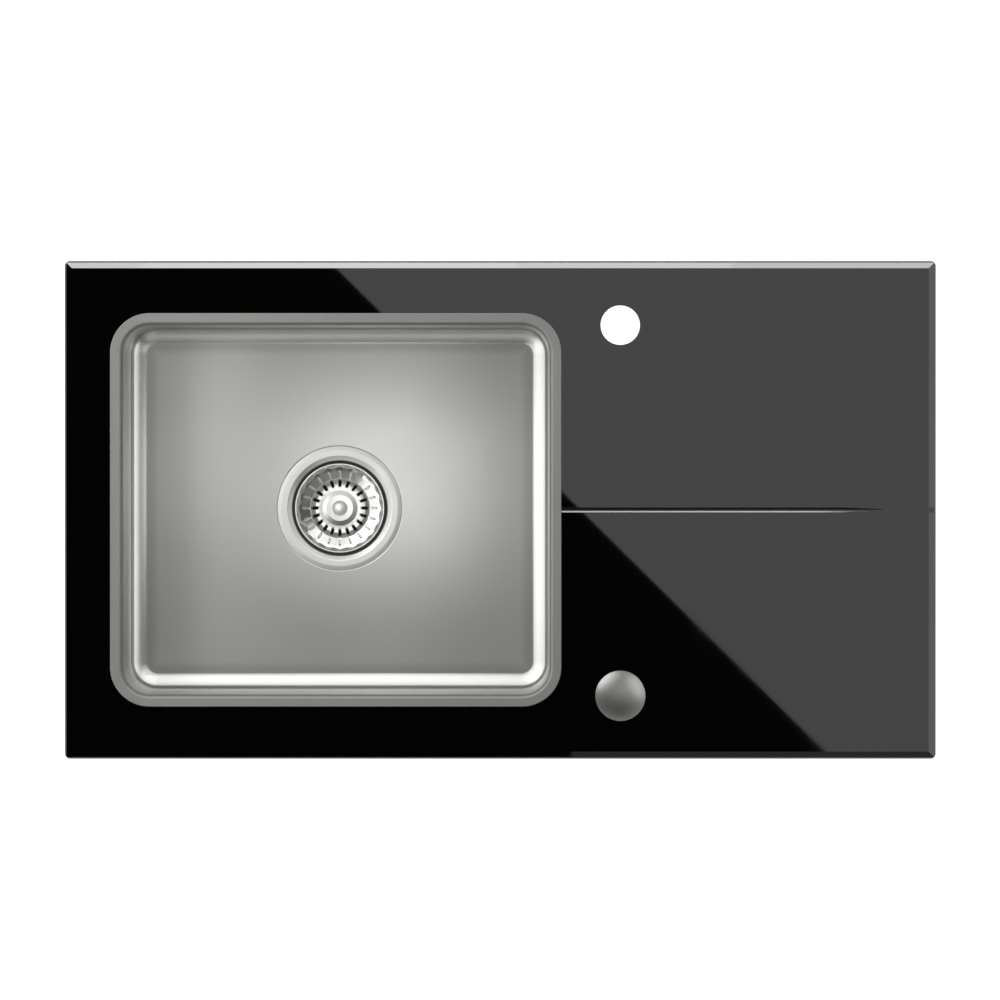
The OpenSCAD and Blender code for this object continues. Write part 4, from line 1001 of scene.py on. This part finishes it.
def softbox(name, place_at, target, size, radiance, lit, up=(0, 0, 1)):
    """A rectangular lamp that the camera doesn't see.

    Its energy is its even radiance times pi times its area.
    """
    data = bpy.data.lights.new(name, "AREA")
    data.shape = "RECTANGLE"
    data.size, data.size_y = size
    data.energy = radiance * math.pi * size[0] * size[1]
    lamp = in_scene(name, data)
    aim(lamp, place_at, target, up)
    lamp.visible_camera = False
    lamp.light_linking.receiver_collection = lit


def receivers(name, objects, state="INCLUDE"):
    """A light linking collection that takes in, or leaves out, the objects."""
    made = bpy.data.collections.new(name)
    for obj in objects:
        made.objects.link(obj)
    for item in made.collection_objects:
        item.light_linking.link_state = state
    return made


TO_BACK = (0, 1, 0)
CAMERA_PLACE = (0, 0.0645, 7.4075)
CAMERA_TARGET = (-0.0003, 0.0088, GLASS_TOP)
CAMERA_LENS = 301.4


class SINK_OT_stage(bpy.types.Operator):
    """Set up the floor, the soft lamps, the world and the camera."""

    bl_idname = "sink.stage"
    bl_label = "Stage"

    def execute(self, context):
        scene = context.scene
        self.floor()
        self.world(scene)
        self.lamps(scene.sink_studio)
        self.camera(scene)
        scene.view_settings.view_transform = "Standard"
        return {"FINISHED"}

    def lamps(self, studio):
        """Lamps of their own for the glass, the steel, the drain and the knob."""
        glass, knob, peg = (
            frame["nodes"][name] for name in ("glass_top", "control_knob", "basket_peg"))
        basket, flange = (bpy.data.objects[name] for name in ("strainer_basket", "flange_and_cup"))
        on_glass, on_knob, on_basket, on_peg = (
            receivers(thing.name + " only", [thing]) for thing in (glass, knob, basket, peg))
        on_steel = receivers("all but glass and knob", [glass, knob], "EXCLUDE")
        on_bowl = receivers("not on the basket", [glass, knob, basket], "EXCLUDE")
        on_drain = receivers("drain only", [flange, basket, peg])
        waste = (WASTE.x, 0, -0.1)
        dome = (KNOB.x, KNOB.y, GLASS_TOP)
        # The panel starts at a slanting line over the glass; slant points across that line.
        slant, start, reach, height = Vector((0.703, 0.711, 0)), 0.0506, 1.0, 1.1
        panel = slant * (start + reach / 2) + Vector((-slant.y, slant.x, 0)) * 0.1
        panel.z = height
        # Each has its name, place, target, width and height, radiance and what it lights. The last
        # value, where there is one, is the way its upper side points.
        for lamp in [
            ("left box", (-1.25, 0.1, 1.0), waste, (2.4, 1.45), studio.key, on_steel),
            ("back box", (-0.1, 1.25, 1.0), waste, (2.6, 1.45), studio.key, on_steel),
            ("right box", (1.6, 0, 1.15), waste, (2.0, 0.6), 2.0, on_bowl),
            ("front box", (WASTE.x, -1.25, 1.2), waste, (1.6, 0.35), 0.9, on_bowl),
            ("high box", (WASTE.x, 0, 1.5), waste, (1.2, 1.1), studio.fill, on_steel, TO_BACK),
            ("overhead lamp", (-0.112, 0.029, 0.28), (-0.112, 0.029, 0), (0.165, 0.165),
             studio.lamp, on_steel, TO_BACK),
            ("second lamp", (-0.274, 0.09, 0.15), (-0.274, 0.09, 0), (0.056, 0.22),
             0.55 * studio.lamp, on_steel, TO_BACK),
            ("third lamp", (-0.274, -0.09, 0.15), (-0.274, -0.09, 0), (0.056, 0.14),
             0.25 * studio.lamp, on_steel, TO_BACK),
            ("drain box", (WASTE.x - 0.11, 0.1, 0.5), waste, (0.5, 0.5), 0.3, on_drain, TO_BACK),
            ("low box", (0.85, -1.0, 1.2), waste, (2.2, 0.9), 0.17, on_basket),
            ("peg box", (WASTE.x - 0.07, 0.07, 0.02), (WASTE.x, 0, -0.18), (0.12, 0.12), 4.5,
             on_peg, TO_BACK),
            ("knob left box", (KNOB.x - 0.9, KNOB.y + 1.0, 0.42), dome, (1.4, 0.4), 5.0, on_knob),
            ("knob right box", (KNOB.x + 1.1, KNOB.y + 0.6, 0.8), dome, (1.9, 0.9), 1.4, on_knob),
            ("knob high box", (KNOB.x, KNOB.y + 0.25, 1.2), dome, (1.0, 0.7), 0.5, on_knob,
             TO_BACK),
            ("panel", panel, panel - Vector((0, 0, 1)), (2.4, reach), studio.panel, on_glass,
             slant),
            ("back strip", (-0.34, 1.69, 1.36), (-0.34, 0.219, 0), (1.2, 0.12), 14.5, on_glass),
            ("back strip end", (0.48, 1.69, 1.36), (0.48, 0.219, 0), (0.44, 0.12), 12.8,
             on_glass),
            ("front strip", (0.48, -1.76, 1.31), (0.48, -0.219, 0), (0.8, 0.3), 0.45, on_glass),
            ("right strip", (1.7, 0.0, 1.2), (0.38, 0, 0), (1.6, 0.3), 2.4, on_glass)
        ]:
            softbox(*lamp)

    def floor(self):
        """A large pale floor, a little under the lowest piece."""
        half = 40.0
        z = CAD_LOW.z - 0.5 * MM
        mesh = bpy.data.meshes.new("floor")
        mesh.from_pydata(
            [(-half, -half, z), (half, -half, z), (half, half, z), (-half, half, z)], [],
            [(0, 1, 2, 3)])
        in_scene("floor", mesh)
        material = bpy.data.materials.new("Pale floor")
        mesh.materials.append(material)
        tree, out = emptied(material, "OutputMaterial")
        ray = add_node(tree, "LightPath")
        matt = add_node(tree, "BsdfDiffuse", {"Color": grey(0.8)})
        faint = add_node(tree, "BsdfDiffuse", {"Color": grey(0.25)})
        glow = add_node(tree, "Emission", {"Color": grey(0.86)})
        pale = add_node(tree, "AddShader", {0: faint[0], 1: glow[0]})
        shown = math_node(
            tree, "MAXIMUM", ray["Is Camera Ray"],
            math_node(tree, "MAXIMUM", ray["Is Glossy Ray"], ray["Is Transmission Ray"]))
        both = add_node(tree, "MixShader", {0: shown, 1: matt[0], 2: pale[0]})
        feed(tree, out, {0: both[0]})

    def world(self, scene):
        """White for the camera; for gloss, white near the horizon under a dark ceiling."""
        studio = scene.sink_studio
        scene.world = bpy.data.worlds.new("studio")
        tree, out = emptied(scene.world, "OutputWorld")
        ray = add_node(tree, "LightPath")
        z = split(tree, add_node(tree, "TexCoord")["Generated"])[2]
        for_gloss = ramp(tree, z, 0.0, 0.12, studio.horizon, studio.ceiling)
        level = add_node(
            tree, "Mix", {0: ray["Is Glossy Ray"], 2: studio.ambient, 3: for_gloss},
            data_type="FLOAT")[0]
        seen = math_node(tree, "MAXIMUM", ray["Is Camera Ray"], ray["Is Transmission Ray"])
        strength = add_node(tree, "Mix", {0: seen, 2: level, 3: 1.0}, data_type="FLOAT")[0]
        back = add_node(tree, "Background", {"Color": grey(1), "Strength": strength})
        feed(tree, out, {0: back[0]})

    def camera(self, scene):
        """Straight down from 7.4 m, with the image's top towards the back."""
        data = bpy.data.cameras.new("camera")
        data.sensor_width = 36
        data.lens = CAMERA_LENS
        data.clip_end = 100
        scene.camera = in_scene("camera", data)
        aim(scene.camera, CAMERA_PLACE, CAMERA_TARGET, TO_BACK)


PIECES = ("glass", "bowl", "waste", "basket", "knob", "frame", "gear", "cable", "stage")


class SINK_PT_tools(bpy.types.Panel):
    """Lists the sink's pieces, sizes, colours and light levels."""

    bl_idname = "SINK_PT_tools"
    bl_label = "Sink"
    bl_space_type = "VIEW_3D"
    bl_region_type = "UI"
    bl_category = "Sink"

    def draw(self, context):
        for name in PIECES:
            self.layout.operator("sink." + name)
        for label in ("sink_sizes", "sink_colours", "sink_studio"):
            values = getattr(context.scene, label)
            box = self.layout.box()
            for key in values.bl_rna.properties.keys():
                if key not in ("rna_type", "name"):
                    box.prop(values, key)


GROUPS_OF_VALUES = {
    "sink_sizes": SinkSizes, "sink_colours": SinkColours, "sink_studio": SinkStudio
}
CLASSES = (
    SinkSizes, SinkColours, SinkStudio, SINK_OT_glass, SINK_OT_bowl, SINK_OT_waste,
    SINK_OT_basket, SINK_OT_knob, SINK_OT_frame, SINK_OT_gear, SINK_OT_cable, SINK_OT_stage,
    SINK_PT_tools
)


def register():
    for item in CLASSES:
        bpy.utils.register_class(item)
    for label, group in GROUPS_OF_VALUES.items():
        setattr(bpy.types.Scene, label, bpy.props.PointerProperty(type=group))


def unregister():
    for label in GROUPS_OF_VALUES:
        delattr(bpy.types.Scene, label)
    for item in reversed(CLASSES):
        bpy.utils.unregister_class(item)


def main():
    """Makes every piece in order."""
    register()
    for name in PIECES:
        getattr(bpy.ops.sink, name)()


if __name__ == "__main__":
    main()
